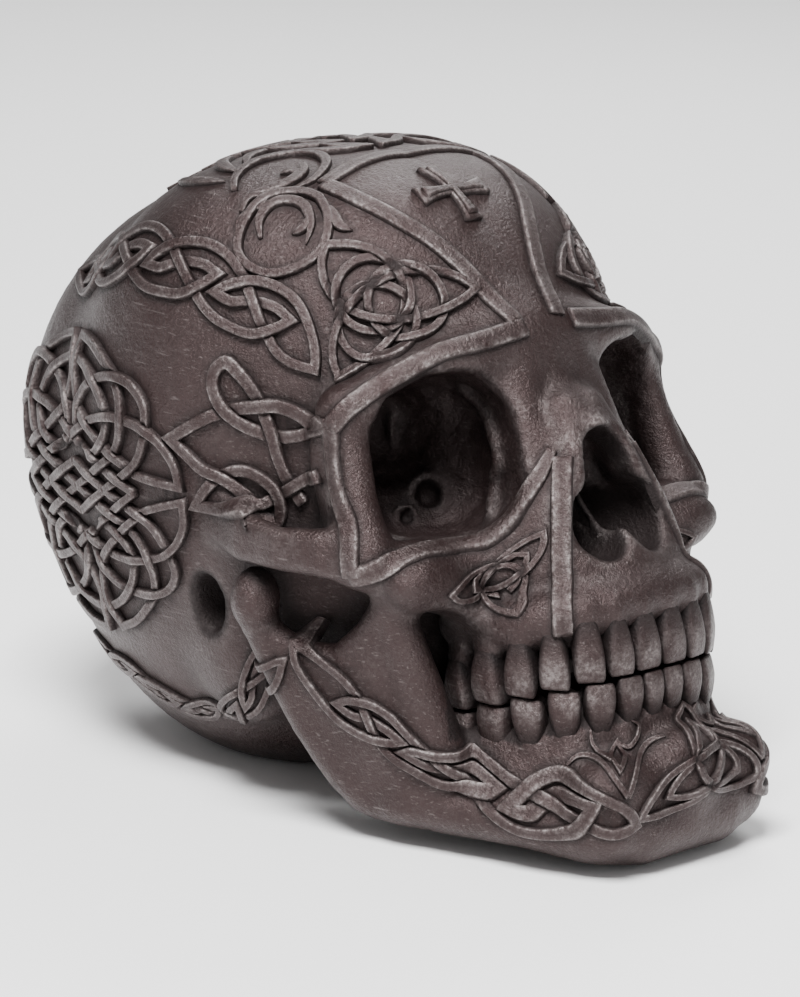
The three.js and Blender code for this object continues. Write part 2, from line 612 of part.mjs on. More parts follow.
// Three arcs from tip to tip of a knot whose tips lie on a circle, stretched onto the given tips,
// and the rings that it has.
function threePoints({ tips, passBy, rings }) {
  const rise = 0.5 + passBy;
  const radius = (0.75 + rise * rise) / (2 * rise);
  const halfTurn = Math.asin(Math.sqrt(0.75) / radius);
  const corners = [90, 210, 330].map((angle) => angle * DEGREE);
  const steps = [-1, -0.67, -0.33, 0, 0.33, 0.67, 1];
  const arcs = corners.map((angle) => steps.map((part) => {
    const turn = angle - part * halfTurn;
    const x = (passBy - radius) * Math.cos(angle) + radius * Math.cos(turn);
    const y = (passBy - radius) * Math.sin(angle) + radius * Math.sin(turn);
    const weights = corners.map((a) => (1 + 2 * (x * Math.cos(a) + y * Math.sin(a))) / 3);
    return [0, 1].map((k) => dot(weights, tips.map((tip) => tip[k])));
  }));
  return [...arcs, ...rings.map(ring)];
}

// A closed ring, a little past one full turn.
function ring([u, v, radius]) {
  const points = [];
  for (let angle = 0; angle <= 380; angle += 20) {
    points.push([u + radius * Math.cos(angle * DEGREE), v + radius * Math.sin(angle * DEGREE)]);
  }
  return points;
}

// The arcs of a braid. Two strands take turns, unit by unit, and meet at both ends.
function braid({ guide }) {
  const parts = 8;
  const line = smooth(guide, parts);
  const units = guide.length - 3;
  const [span, rise] = BRAID_RETURN[0];
  const spot = ([x, y]) => {
    const t = (x + 1) * parts;
    const i = Math.min(Math.max(Math.floor(t), 0), line.length - 2);
    const way = minus3(line[i + 1], line[i]);
    const [u, v, width] = along(line[i], t - i, way);
    const across = ((y - rise / 2) * width * Math.sign(way[0])) / Math.hypot(way[0], way[1]);
    return [u - across * way[1], v + across * way[0]];
  };
  const shifted = (arc, shift) => arc.map(([x, y]) => [x + shift, y]);
  const turned = (arc) => arc.map(([x, y]) => [units - 1 + span - x, rise - y]);
  const lastOnes = [BRAID_LAST, BRAID_LAST_BUT_ONE];
  const arcs = [];
  for (const first of [0, 1]) {
    arcs.push(turned(shifted(lastOnes[first], units - 1 - first)));
    for (let k = first; k < units; k += 2) {
      const left = units - 1 - k;
      arcs.push(shifted(BRAID_RETURN, k), shifted(left < 2 ? lastOnes[left] : BRAID_ARCH, k));
    }
  }
  return arcs.map((arc) => arc.map(spot));
}

// Distances on a grid. Blocks of the grid that lie far from the skin get one value each.
function sampleGrid(shape) {
  const count = [0, 1, 2].map((k) => Math.ceil((BOX_HIGH[k] - BOX_LOW[k]) / CELL) + 1);
  const place = (k, i) => BOX_LOW[k] + i * CELL;
  const index = (i, j, k) => (i * count[1] + j) * count[2] + k;
  const value = new Float64Array(count[0] * count[1] * count[2]);
  const side = 6;
  for (let i0 = 0; i0 < count[0]; i0 += side) {
    for (let j0 = 0; j0 < count[1]; j0 += side) {
      for (let k0 = 0; k0 < count[2]; k0 += side) {
        const middle = shape(place(0, i0 + side / 2), place(1, j0 + side / 2), place(2, k0 + side / 2));
        const far = Math.abs(middle) > side * CELL * 1.25;
        for (let i = i0; i < Math.min(i0 + side, count[0]); i++) {
          for (let j = j0; j < Math.min(j0 + side, count[1]); j++) {
            for (let k = k0; k < Math.min(k0 + side, count[2]); k++) {
              value[index(i, j, k)] = far ? middle : shape(place(0, i), place(1, j), place(2, k));
            }
          }
        }
      }
    }
  }
  return { count, index, value };
}

// The skin as a closed mesh: each grid cube is split into six tetrahedra round its long diagonal,
// and each tetrahedron gives one or two triangles where the skin passes through it.
function skinMesh(shape) {
  const { count, index, value } = sampleGrid(shape);
  const offset = (corner) => index(corner & 1, (corner >> 1) & 1, corner >> 2);
  const chains = [[0, 1, 3, 7], [0, 1, 5, 7], [0, 2, 3, 7], [0, 2, 6, 7], [0, 4, 5, 7], [0, 4, 6, 7]];
  const points = [];
  const triangles = [];
  const made = new Map();
  const gridPoint = (i, j, k, corner) => [
    BOX_LOW[0] + (i + (corner & 1)) * CELL,
    BOX_LOW[1] + (j + ((corner >> 1) & 1)) * CELL,
    BOX_LOW[2] + (k + (corner >> 2)) * CELL,
  ];
  const crossing = (i, j, k, a, b) => {
    const [low, high] = a < b ? [a, b] : [b, a];
    const cell = index(i, j, k);
    const key = (cell + offset(low)) * 8 + (high - low);
    if (!made.has(key)) {
      const [va, vb] = [value[cell + offset(low)], value[cell + offset(high)]];
      const t = Math.min(0.96, Math.max(0.04, va / (va - vb)));
      const from = gridPoint(i, j, k, low);
      points.push(along(from, t, minus3(gridPoint(i, j, k, high), from)));
      made.set(key, points.length - 1);
    }
    return made.get(key);
  };
  const face = (a, b, c, outward) => {
    const n = cross(minus3(points[b], points[a]), minus3(points[c], points[a]));
    triangles.push(dot(n, outward) > 0 ? [a, b, c] : [a, c, b]);
  };
  for (let i = 0; i < count[0] - 1; i++) {
    for (let j = 0; j < count[1] - 1; j++) {
      for (let k = 0; k < count[2] - 1; k++) {
        const cell = index(i, j, k);
        const inside = [0, 1, 2, 3, 4, 5, 6, 7].map((corner) => value[cell + offset(corner)] < 0);
        if (inside.every((v) => v) || inside.every((v) => !v)) continue;
        for (const chain of chains) {
          const inner = chain.filter((corner) => inside[corner]);
          const outer = chain.filter((corner) => !inside[corner]);
          if (!inner.length || !outer.length) continue;
          const mean = (set) => [0, 1, 2].map((q) => (
            set.reduce((sum, corner) => sum + gridPoint(i, j, k, corner)[q], 0) / set.length));
          const outward = minus3(mean(outer), mean(inner));
          const cut = (a, b) => crossing(i, j, k, a, b);
          if (inner.length === 2) {
            const [p, q] = [cut(inner[0], outer[0]), cut(inner[0], outer[1])];
            const [r, s] = [cut(inner[1], outer[1]), cut(inner[1], outer[0])];
            face(p, q, r, outward);
            face(p, r, s, outward);
          } else {
            const lone = inner.length === 1 ? inner[0] : outer[0];
            const others = inner.length === 1 ? outer : inner;
            face(cut(lone, others[0]), cut(lone, others[1]), cut(lone, others[2]), outward);
          }
        }
      }
    }
  }
  return { points, triangles };
}

// A priority queue of edges, cheapest first.
class Queue {
  constructor() {
    this.items = [];
  }

  push(item) {
    const { items } = this;
    let i = items.length;
    items.push(item);
    while (i > 0) {
      const up = (i - 1) >> 1;
      if (items[up].cost <= item.cost) break;
      items[i] = items[up];
      i = up;
    }
    items[i] = item;
  }

  pop() {
    const { items } = this;
    const first = items[0];
    const last = items.pop();
    if (!items.length) return first;
    let i = 0;
    for (;;) {
      let child = 2 * i + 1;
      if (child >= items.length) break;
      if (child + 1 < items.length && items[child + 1].cost < items[child].cost) child++;
      if (items[child].cost >= last.cost) break;
      items[i] = items[child];
      i = child;
    }
    items[i] = last;
    return first;
  }
}

// Joins the ends of the edge that changes the skin least, again and again, until few enough
// triangles are left. The error of a point is its squared distance to the planes it stands for.
function thin({ points, triangles }, wanted) {
  const at = points.map((p) => [...p]);
  const faces = triangles.map((f) => [...f]);
  const ring = at.map(() => new Set());
  const error = at.map(() => new Float64Array(10));
  const stamp = new Int32Array(at.length);
  const normalOf = (a, b, c) => cross(minus3(b, a), minus3(c, a));
  faces.forEach((f, id) => {
    const n = normalOf(...f.map((v) => at[v]));
    const size = Math.hypot(...n) || 1e-12;
    const [a, b, c] = n.map((v) => v / size);
    const d = -dot([a, b, c], at[f[0]]);
    const plane = [a * a, a * b, a * c, a * d, b * b, b * c, b * d, c * c, c * d, d * d];
    for (const v of f) {
      ring[v].add(id);
      plane.forEach((value, q) => { error[v][q] += value * size; });
    }
  });
  const value = (e, [x, y, z]) => e[0] * x * x + 2 * e[1] * x * y + 2 * e[2] * x * z + 2 * e[3] * x
    + e[4] * y * y + 2 * e[5] * y * z + 2 * e[6] * y + e[7] * z * z + 2 * e[8] * z + e[9];
  const best = (e, middle, weight) => {
    const [a, b, c, d, f, g] = [e[0] + weight, e[1], e[2], e[4] + weight, e[5], e[7] + weight];
    const right = [weight * middle[0] - e[3], weight * middle[1] - e[6], weight * middle[2] - e[8]];
    const rows = [[a, b, c], [b, d, f], [c, f, g]];
    const size = dot(rows[0], cross(rows[1], rows[2]));
    if (Math.abs(size) < 1e-12) return middle;
    return [
      dot(right, cross(rows[1], rows[2])) / size,
      dot(right, cross(rows[2], rows[0])) / size,
      dot(right, cross(rows[0], rows[1])) / size,
    ];
  };
  const queue = new Queue();
  const offer = (a, b) => {
    const e = error[a].map((v, q) => v + error[b][q]);
    const gap = minus3(at[b], at[a]);
    const length2 = dot(gap, gap);
    const middle = along(at[a], 0.5, gap);
    let place = best(e, middle, 1e-3 * (e[0] + e[4] + e[7]));
    if (dot(minus3(place, middle), minus3(place, middle)) > 4 * length2) place = middle;
    const cost = Math.max(value(e, place), 0) + 1e-4 * length2 * (e[0] + e[4] + e[7]);
    queue.push({ cost, a, b, place, stampA: stamp[a], stampB: stamp[b] });
  };
  const neighbours = (v) => {
    const found = new Set();
    for (const id of ring[v]) faces[id].forEach((w) => found.add(w));
    found.delete(v);
    return found;
  };
  const bends = (v, other, place) => {
    for (const id of ring[v]) {
      const f = faces[id];
      if (f.includes(other)) continue;
      const before = normalOf(...f.map((w) => at[w]));
      const corners = f.map((w) => (w === v ? place : at[w]));
      const after = normalOf(...corners);
      const size = Math.hypot(...after);
      const longest = Math.max(...corners.map((c, q) => Math.hypot(...minus3(c, corners[(q + 1) % 3]))));
      if (size < 0.06 * longest * longest && size < 0.9 * Math.hypot(...before)) return true;
      if (dot(before, after) < 0.3 * Math.hypot(...before) * size) return true;
    }
    return false;
  };
  for (let v = 0; v < at.length; v++) for (const w of neighbours(v)) if (v < w) offer(v, w);
  let left = faces.length;
  while (left > wanted && queue.items.length) {
    const { a, b, place, stampA, stampB } = queue.pop();
    if (stamp[a] !== stampA || stamp[b] !== stampB) continue;
    const around = neighbours(a);
    const shared = [...neighbours(b)].filter((v) => around.has(v));
    if (shared.length !== 2 || bends(a, b, place) || bends(b, a, place)) continue;
    at[a] = place;
    error[a] = error[a].map((v, q) => v + error[b][q]);
    for (const id of ring[b]) {
      if (faces[id].includes(a)) {
        for (const v of faces[id]) if (v !== b) ring[v].delete(id);
        faces[id] = null;
        left--;
      } else {
        faces[id] = faces[id].map((v) => (v === b ? a : v));
        ring[a].add(id);
      }
    }
    ring[b].clear();
    stamp[a]++;
    stamp[b] = -1;
    for (const v of neighbours(a)) offer(a, v);
  }
  const kept = new Map();
  const out = { points: [], triangles: [] };
  for (const f of faces) {
    if (!f) continue;
    out.triangles.push(f.map((v) => {
      if (!kept.has(v)) {
        kept.set(v, out.points.length);
        out.points.push(at[v]);
      }
      return kept.get(v);
    }));
  }
  return out;
}

const wasm = await Module();
wasm.setup();

function toSolid({ points, triangles }) {
  const vertProperties = new Float32Array(points.flat());
  const triVerts = new Uint32Array(triangles.flat());
  return new wasm.Manifold(new wasm.Mesh({ numProp: 3, vertProperties, triVerts }));
}

function fromSolid(solid) {
  const { vertProperties, triVerts, numProp } = solid.getMesh();
  const points = [];
  for (let i = 0; i < vertProperties.length; i += numProp) points.push([...vertProperties.slice(i, i + 3)]);
  const triangles = [];
  for (let i = 0; i < triVerts.length; i += 3) triangles.push([...triVerts.slice(i, i + 3)]);
  return { points, triangles };
}

function toMesh({ points, triangles }, name, material) {
  const moved = points.map(([x, y, z]) => [x, y - MIDDLE_Y, z < GROUNDED ? 0 : z]);
  const geometry = new THREE.BufferGeometry();
  geometry.setAttribute("position", new THREE.Float32BufferAttribute(moved.flat(), 3));
  geometry.setIndex(triangles.flat());
  geometry.computeVertexNormals();
  const mesh = new THREE.Mesh(geometry, material);
  mesh.name = name;
  return mesh;
}

const iron = new THREE.MeshStandardMaterial({ color: 0x51434a, roughness: 0.5, metalness: 0.6 });

// The strands of the +X side.
function sideKnots(form) {
  const knots = [];
  const lay = (motif, arcs) => {
    for (const arc of arcs) knots.push(...strand(onPatch(form, motif), arc, motif));
  };
  lay(SIDE_BRAID, braid(SIDE_BRAID));
  lay(JAW_BRAID, braid(JAW_BRAID));
  lay(FOREHEAD_KNOT, threePoints(FOREHEAD_KNOT));
  lay(CHEEK_KNOT, threePoints(CHEEK_KNOT));
  lay(TEMPLE_KNOT, TEMPLE_KNOT.arcs);
  lay(SCROLL, SCROLL.arcs);
  const c = Math.cos(ROUNDEL.turn * DEGREE);
  const s = Math.sin(ROUNDEL.turn * DEGREE);
  for (const [sx, sy] of [[1, 1], [-1, 1], [1, -1], [-1, -1]]) {
    const turned = ([x, y]) => [-(c * sx * x - s * sy * y), s * sx * x + c * sy * y];
    lay(ROUNDEL, ROUNDEL.arcs.map((arc) => arc.map(turned)));
  }
  for (const { line, width } of [BROW_STRAP, TEMPLE_STRAP, ORBIT_STRAP, NOSE_STRAP]) {
    knots.push(...strand(onBone(form), line, { width, height: STRAP_HEIGHT }));
  }
  return knots;
}

// The strands at the middle of the face and of the forehead.
function middleKnots(form) {
  const knots = [];
  for (const arc of threePoints(CHIN_KNOT)) knots.push(...strand(onPatch(form, CHIN_KNOT), arc, CHIN_KNOT));
  const panel = [PANEL_SIDE, PANEL_SIDE.map(([x, y, z]) => [-x, y, z]), PANEL_TOP];
  for (const line of panel) {
    const shifted = line.map(([x, y, z]) => [x + PANEL_SHIFT, y, z]);
    knots.push(...strand(onBone(form), shifted, { width: PANEL_WIDTH, height: STRAP_HEIGHT }));
  }
  const { middle, waist, height, step } = CROSS;
  for (const reach of [CROSS.arm, CROSS.post]) {
    const arm = [-1, 0, 1].map((part) => along(middle, part, reach));
    knots.push(...strand(onBone(form), arm, { width: waist, end: CROSS.end / waist, height, step }));
  }
  return knots;
}

const mirrored = ({ points, triangles }) => ({
  points: points.map(([x, y, z]) => [-x, y, z]),
  triangles: triangles.map(([a, b, c]) => [a, c, b]),
});

const form = skullForm();
const plain = thin(skinMesh(form), FORM_TRIANGLES);
const side = sideKnots(form);
const knots = [...side, ...side.map(mirrored), ...middleKnots(form)];
const joined = wasm.Manifold.union([plain, ...knots].map(toSolid));
const whole = new THREE.Group();
whole.add(toMesh(thin(fromSolid(joined), ALL_TRIANGLES), "skull", iron));
export default whole;
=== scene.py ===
# %% [markdown]
# # A cast iron skull with knotwork
# This lesson dresses a imported CAD skull for a picture. The real one is a single dark casting, worn
# on its edges, with raised bands of knotwork all over it. The imported solid has its form but few
# faces, so the look comes from three finer meshes of the same form: the bone, the teeth and the
# knotwork. They could be sculpted by hand. Here they are worked out from named sizes, because a
# change then stays small, and every run gives the same result.
#
# The frame is the imported solid. It is loaded first.

# %% Load the frame
import math

import bpy
import numpy as np
from mathutils import Matrix, Vector, kdtree, noise


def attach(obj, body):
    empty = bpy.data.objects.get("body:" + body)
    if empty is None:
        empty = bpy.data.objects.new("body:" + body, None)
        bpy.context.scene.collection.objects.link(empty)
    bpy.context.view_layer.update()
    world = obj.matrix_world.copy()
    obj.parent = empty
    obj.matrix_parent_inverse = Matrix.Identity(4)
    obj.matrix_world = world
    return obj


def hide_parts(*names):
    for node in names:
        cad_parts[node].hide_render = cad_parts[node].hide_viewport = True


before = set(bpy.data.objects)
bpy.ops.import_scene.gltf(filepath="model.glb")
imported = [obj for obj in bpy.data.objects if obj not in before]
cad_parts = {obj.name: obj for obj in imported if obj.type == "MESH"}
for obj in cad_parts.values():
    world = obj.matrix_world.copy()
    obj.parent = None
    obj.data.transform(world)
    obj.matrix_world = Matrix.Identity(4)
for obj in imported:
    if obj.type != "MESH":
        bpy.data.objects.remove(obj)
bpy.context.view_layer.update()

# %% [markdown]
# ## Distances make the form
# A skull has no straight edge to start from. It could be pushed out of a subdivided box, but its
# sizes would get lost on the way. It is easier to say, for any point in space, how far that point
# is outside the skin, with a minus sign inside. Rounded shapes are then added with the smaller of
# two distances and cut with the larger, and a soft version of both gives the fillets. The shapes
# below are the ones that the solid is made of, in millimetres. Only the +X half is worked out,
# because the skull is the same on both sides.

# %% Soft joins, and a shape with its box
DEGREE = math.pi / 180
TINY = 1e-9


def soft_min(a, b, blend):
    """The smaller of two distances, rounded off where they are nearly alike."""
    overlap = np.maximum(blend - np.abs(a - b), 0) / blend
    return np.minimum(a, b) - overlap * overlap * blend / 4


def turned_axes(turn):
    rx, ry, rz = (Matrix.Rotation(angle * DEGREE, 3, axis) for angle, axis in zip(turn, "XYZ"))
    return np.array(rz @ ry @ rx)


class Shape:
    """A distance function and the box that holds the shape."""

    def __init__(self, low, high, distance):
        self.low, self.high, self.distance = np.array(low, float), np.array(high, float), distance


def around(points, distance):
    points = np.array(points, float)
    reach = points[:, 3:]
    return Shape((points[:, :3] - reach).min(0), (points[:, :3] + reach).max(0), distance)


# %% Ellipsoids, rounded blocks and tapered rods
def ellipsoid(centre, radii, turn=(0, 0, 0)):
    m = turned_axes(turn)
    a, b, c = radii

    def distance(x, y, z):
        x, y, z = x - centre[0], y - centre[1], z - centre[2]
        p, q, r = (m[0, k] * x + m[1, k] * y + m[2, k] * z for k in range(3))
        scaled = np.sqrt((p / a) ** 2 + (q / b) ** 2 + (r / c) ** 2)
        slope = np.sqrt((p / a**2) ** 2 + (q / b**2) ** 2 + (r / c**2) ** 2)
        return scaled * (scaled - 1) / np.maximum(slope, TINY)

    return around([[*centre, max(radii)]], distance)


def block(centre, half, round_, turn=(0, 0, 0)):
    m = turned_axes(turn)

    def distance(x, y, z):
        x, y, z = x - centre[0], y - centre[1], z - centre[2]
        p, q, r = (np.abs(m[0, k] * x + m[1, k] * y + m[2, k] * z) - half[k] + round_ for k in range(3))
        outside = np.sqrt(np.maximum(p, 0) ** 2 + np.maximum(q, 0) ** 2 + np.maximum(r, 0) ** 2)
        return outside + np.minimum(np.maximum(np.maximum(p, q), r), 0) - round_

    return around([[*centre, math.hypot(*half)]], distance)


def rod(a, b):
    a, b = np.array(a, float), np.array(b, float)
    ab = b[:3] - a[:3]
    length2 = max(float(ab @ ab), TINY)

    def distance(x, y, z):
        x, y, z = x - a[0], y - a[1], z - a[2]
        h = np.clip((x * ab[0] + y * ab[1] + z * ab[2]) / length2, 0, 1)
        gap = np.sqrt((x - h * ab[0]) ** 2 + (y - h * ab[1]) ** 2 + (z - h * ab[2]) ** 2)
        return gap - (a[3] + (b[3] - a[3]) * h)

    return around([a, b], distance)


# %% Shapes joined, and the lines and sheets made of them
def join(blend, *shapes):
    def distance(x, y, z):
        d = shapes[0].distance(x, y, z)
        for shape in shapes[1:]:
            other = shape.distance(x, y, z)
            d = soft_min(d, other, blend) if blend else np.minimum(d, other)
        return d

    return Shape(np.min([s.low for s in shapes], 0), np.max([s.high for s in shapes], 0), distance)


def smooth_line(points, steps=4):
    """A line through all the points, with further points on a smooth curve between them."""
    p = np.array([points[0], *points, points[-1]], float)
    t = (np.arange(steps) / steps)[:, None]
    line = []
    for a, v, b, c in zip(p, p[1:], p[2:], p[3:]):
        line.append(v + 0.5 * t * (b - a + t * (2 * a - 5 * v + 4 * b - c + t * (3 * v - a - 3 * b + c))))
    return np.concatenate([*line, p[-1:]])


def cord(points):
    """A smooth line through points that each have a place and a radius."""
    line = smooth_line(points)
    return join(0, *(rod(a, b) for a, b in zip(line, line[1:])))


def web(a, b, c):
    """One triangle of a sheet, thickened by the radii of its corners."""
    a, b, c = (np.array(p, float) for p in (a, b, c))
    pa, pb, pc = a[:3], b[:3], c[:3]
    n = np.cross(pb - pa, pc - pa)
    n2 = float(n @ n)
    sides = [(pa, np.cross(pb - pa, n)), (pb, np.cross(pc - pb, n)), (pc, np.cross(pa - pc, n))]
    edges = join(0, rod(a, b), rod(b, c), rod(c, a))
    wa_way, wb_way = np.cross(n, pc - pb) / n2, np.cross(n, pa - pc) / n2

    def distance(x, y, z):
        def part(origin, way):
            return (x - origin[0]) * way[0] + (y - origin[1]) * way[1] + (z - origin[2]) * way[2]

        beyond = np.maximum.reduce([part(p, way) for p, way in sides]) > 0
        wa, wb = part(pb, wa_way), part(pc, wb_way)
        flat = np.abs(part(pa, n)) / math.sqrt(n2) - (wa * a[3] + wb * b[3] + (1 - wa - wb) * c[3])
        return np.where(beyond, edges.distance(x, y, z), flat)

    return around([a, b, c], distance)


def sheet(top, low):
    """A sheet between two edges with as many points each."""
    webs = []
    for i in range(len(top) - 1):
        webs += [web(top[i], top[i + 1], low[i]), web(low[i], top[i + 1], low[i + 1])]
    return join(0, *webs)


def reach_along(shape, start, way, most=100):
    """How far a shape reaches from a point along a direction, in steps of 0.1 mm."""
    run = np.arange(0, most, 0.1)
    x, y, z = (start[k] + way[k] * run for k in range(3))
    return round(float(run[shape.distance(x, y, z) < 0].max()), 1)


ball = ellipsoid((0, 0, 0), (10, 10, 10))
print("12 mm from the middle of a 10 mm ball:", round(float(ball.distance(12.0, 0.0, 0.0)), 3), "mm outside")

# %% [markdown]
# ## A block of space
# The distances have to be kept somewhere. A tree of formulas would be exact, but slow to ask for
# every point of the mesh. So they are kept at the points of a fine grid over the +X half, CELL
# apart. Adding or cutting a shape only touches the part of the grid within REACH of it, so even
# hundreds of rods take little time.

# %% The grid and its two operations
CELL = 0.9
REACH = 10
GRID_LOW, GRID_HIGH = np.array([0, -88.0, -3.0]), np.array([59.0, 95.0, 131.0])
counts = np.ceil((GRID_HIGH - GRID_LOW) / CELL).astype(int) + 1
grid_axes = [GRID_LOW[k] + CELL * np.arange(counts[k]) for k in range(3)]


def near(shape, reach=REACH):
    """The part of the grid near a shape, as slices and as coordinates."""
    spans = []
    for k in range(3):
        first = int(np.clip((shape.low[k] - reach - GRID_LOW[k]) / CELL, 0, counts[k] - 1))
        last = int(np.clip((shape.high[k] + reach - GRID_LOW[k]) / CELL + 2, 1, counts[k]))
        spans.append(slice(first, last))
    x, y, z = (grid_axes[k][spans[k]] for k in range(3))
    return tuple(spans), (x[:, None, None], y[None, :, None], z[None, None, :])


def add(field, shape, blend):
    where, place = near(shape)
    field[where] = soft_min(field[where], shape.distance(*place), blend)


def cut(field, shape, blend):
    where, place = near(shape)
    field[where] = -soft_min(-field[where], shape.distance(*place), blend)


print("grid points in half of the skull:", counts, int(np.prod(counts)))

# %% [markdown]
# ## The bone
# On the casting the bone is one smooth surface with a few deep hollows. Its braincase is made of
# five egg shapes that run into each other, because one egg alone would be too regular. The temples
# are hollowed out of it, then come the brow, the cheeks, the nose and the rims of the eye sockets,
# each a cord or a sheet that gets thicker and thinner along its way.

# %% The braincase and the brow
braincase = join(
    14,
    ellipsoid((0, 17.5, 66), (51.3, 63.8, 58.8), (-14.5, 0, 0)),
    ellipsoid((0, 54.8, 61.8), (38.5, 35.8, 43.9)),
    ellipsoid((0, 27, 32.7), (39.9, 43.6, 36.4)),
    ellipsoid((10.7, -2.6, 95.5), (24.9, 20.4, 25.6)),
    ellipsoid((25, 20.8, 88.1), (24.5, 27.3, 31.8)),
)
glabella = ellipsoid((0, -31, 92), (10, 8, 9))
temple_hollow = ellipsoid((56.5, -22.5, 72), (13.8, 20.5, 20))
brow = cord([
    (0, -33, 94, 5), (10, -34, 94.8, 5), (21, -33.6, 93, 5), (31, -30, 89.5, 5), (40, -24.5, 84, 5),
])
print("half width of the braincase, mm:", reach_along(braincase, (0, 17.5, 66), (1, 0, 0)))

# %% The eye sockets and their rims
outer_rim = cord([(40, -24.5, 84, 4.8), (41, -27.4, 76, 4.3), (42.4, -31, 67, 4.5), (43.8, -35, 58.5, 5)])
lower_rim = cord([
    (43.6, -35, 58, 4.8), (37, -37.8, 56.2, 4.5), (29, -40.5, 55.6, 4.4), (21, -44, 57, 4.2),
    (15, -46.5, 64, 4),
])
inner_rim = cord([(6.5, -36, 90, 5.2), (9.5, -40.5, 82, 4.6), (12, -44.5, 73, 4), (15, -46.5, 64, 4.2)])
side_wall = cord([(41, -21.5, 78, 3.6), (41.4, -23, 70, 4), (42, -25.5, 62.5, 4)])
socket = join(
    2,
    block((25, -35, 75.5), (13.8, 17, 15.6), 11, (-14, 0, 20)),
    ellipsoid((21.8, -22.5, 76), (10, 13.5, 10.6)),
)
behind_rim = ellipsoid((50.3, -16.2, 64), (6.6, 11, 10.4), (0, 0, -10))
print("socket, from its middle to its back, mm:", reach_along(socket, (25, -35, 75.5), (0, 1, 0)))

# %% The nose and the cheeks
nose_side = join(
    2,
    cord([
        (3.5, -46, 82.5, 4.2), (6, -52.5, 76, 2.8), (9.8, -55.5, 68, 2.6), (13, -57, 60, 3),
        (11.5, -59, 54, 4.4),
    ]),
    sheet(
        [(6, -38, 86, 4), (8, -48, 76, 3.4), (12, -53, 66, 3.4), (13, -56, 56, 4)],
        [(10, -39, 84, 4), (13, -44, 74, 3.6), (17, -46, 64, 3.6), (20, -48, 54, 4)],
    ),
)
nose_ridge = cord([(0, -34.5, 90, 5.5), (0, -41, 85, 4.4), (0, -47.5, 81.8, 3.8), (0, -52.5, 79.4, 3.2)])
nose_opening = join(
    2.5,
    ellipsoid((6.1, -57, 63), (5.6, 17, 7.2), (-12, 14, 0)),
    ellipsoid((0, -55, 71.5), (6.4, 16, 9.6), (-14, 0, 0)),
)
septum = cord([(0, -44, 71, 0.7), (0, -49, 65, 0.8), (0, -55.5, 59.5, 0.9), (0, -62.6, 54.5, 1.5)])
cheek = join(
    5,
    ellipsoid((33, -39, 54.4), (12.8, 7, 6.2), (0, 0, -28)),
    cord([(37, -41, 53, 4.2), (30, -44, 49.5, 5), (24.5, -46, 43.5, 4.6)]),
)
arch = sheet(
    [
        (43, -34.5, 61, 3.4), (48.6, -28.5, 60.8, 2.7), (51, -19, 60, 2.4), (50.6, -9, 60.4, 2.7),
        (46.5, 1, 62, 3.4),
    ],
    [
        (43.5, -36.5, 55.8, 3.4), (49.2, -29, 57, 2.6), (51.2, -19, 56.4, 2.4), (50.8, -9, 56.2, 2.6),
        (47, 1, 57.5, 3.2),
    ],
)
under_cheek = ellipsoid((44, -23, 46), (8, 12, 13))
print("half width over the arches, mm:", reach_along(arch, (0, -19, 58), (1, 0, 0)))

# %% [markdown]
# ## The jaws
# The lower jaw is a bent plate with a thick lower edge, which rises at the back into a thin blade.
# Sheets between two cords give such plates directly, and a lofted mesh would need its corners
# closed by hand. On the real casting the mouth isn't hollow, and neither is it here: three eggs
# fill the space behind the teeth.

# %% The jaws
upper_jaw = ellipsoid((0, -45, 51.5), (22.5, 22, 16))
upper_gum = cord([
    (0, -66, 50, 4.8), (9, -65.2, 49.5, 4.8), (17, -61, 48, 5), (21.8, -52, 45.5, 5),
    (22.8, -41, 43, 4.8),
])
lower_jaw = join(
    3,
    sheet(
        [
            (0, -70, 26, 4), (9, -69, 25.6, 4), (17, -65, 24.5, 4),
            (21.5, -55, 21.5, 4), (25, -45, 20, 4), (31, -40, 22, 3.6),
        ],
        [
            (0, -76.5, 8, 6.5), (10, -76, 7.5, 6.5), (19.5, -71.5, 8.4, 6),
            (24.5, -60, 9, 5.5), (29.5, -47, 8.8, 5.2), (33.2, -37, 9, 5),
        ],
    ),
    block((0, -74.5, 13.2), (24, 7, 9.8), 6.5),
    ellipsoid((0, -76.8, 17), (9, 6.8, 9)),
)
jaw_branch = join(
    2,
    join(
        1.5,
        sheet(
            [
                (39.8, -38.5, 51, 2.8), (41, -34, 43, 3), (42.2, -28, 36.5, 3.2), (44, -20, 35.5, 3.2),
                (46.8, -12.5, 38.5, 3),
            ],
            [
                (30, -45.5, 18, 4.2), (32.5, -39, 9.5, 4.6), (34.5, -32, 8.5, 4.6),
                (37.5, -25.5, 13, 4.2), (41.5, -18.5, 23, 3.6),
            ],
        ),
        cord([(36, -29, 9.5, 4.4), (39.5, -22.5, 17, 4), (43.5, -15.5, 28, 3.6), (47.5, -11, 40, 3.6)]),
        cord([(30, -45, 17, 4.6), (35, -41.5, 30, 3.8), (38, -39.5, 42, 3.4), (40, -37.5, 53, 3.6)]),
    ),
    ellipsoid((49, -10.5, 46), (4.8, 4.8, 6.4)),
)
mouth_filling = join(
    8,
    ellipsoid((0, -42, 38), (19, 24, 17)),
    ellipsoid((0, -14, 30), (33, 32, 27)),
    ellipsoid((0, -47, 18), (18, 24, 11)),
)
mouth_corner = ellipsoid((34, -46, 37), (9, 9, 11.5))
print("from Y = 0 to the front of the chin, mm:", reach_along(lower_jaw, (0, 0, 13.2), (0, -1, 0)))

# %% [markdown]
# ## Inside the eye sockets
# Deep in each socket the casting shows a fold of bone and two small rings, where the nerves of a
# real skull pass. They could be painted as dark spots, but light falls into the socket from the
# side, so they are raised and cut like the rest.

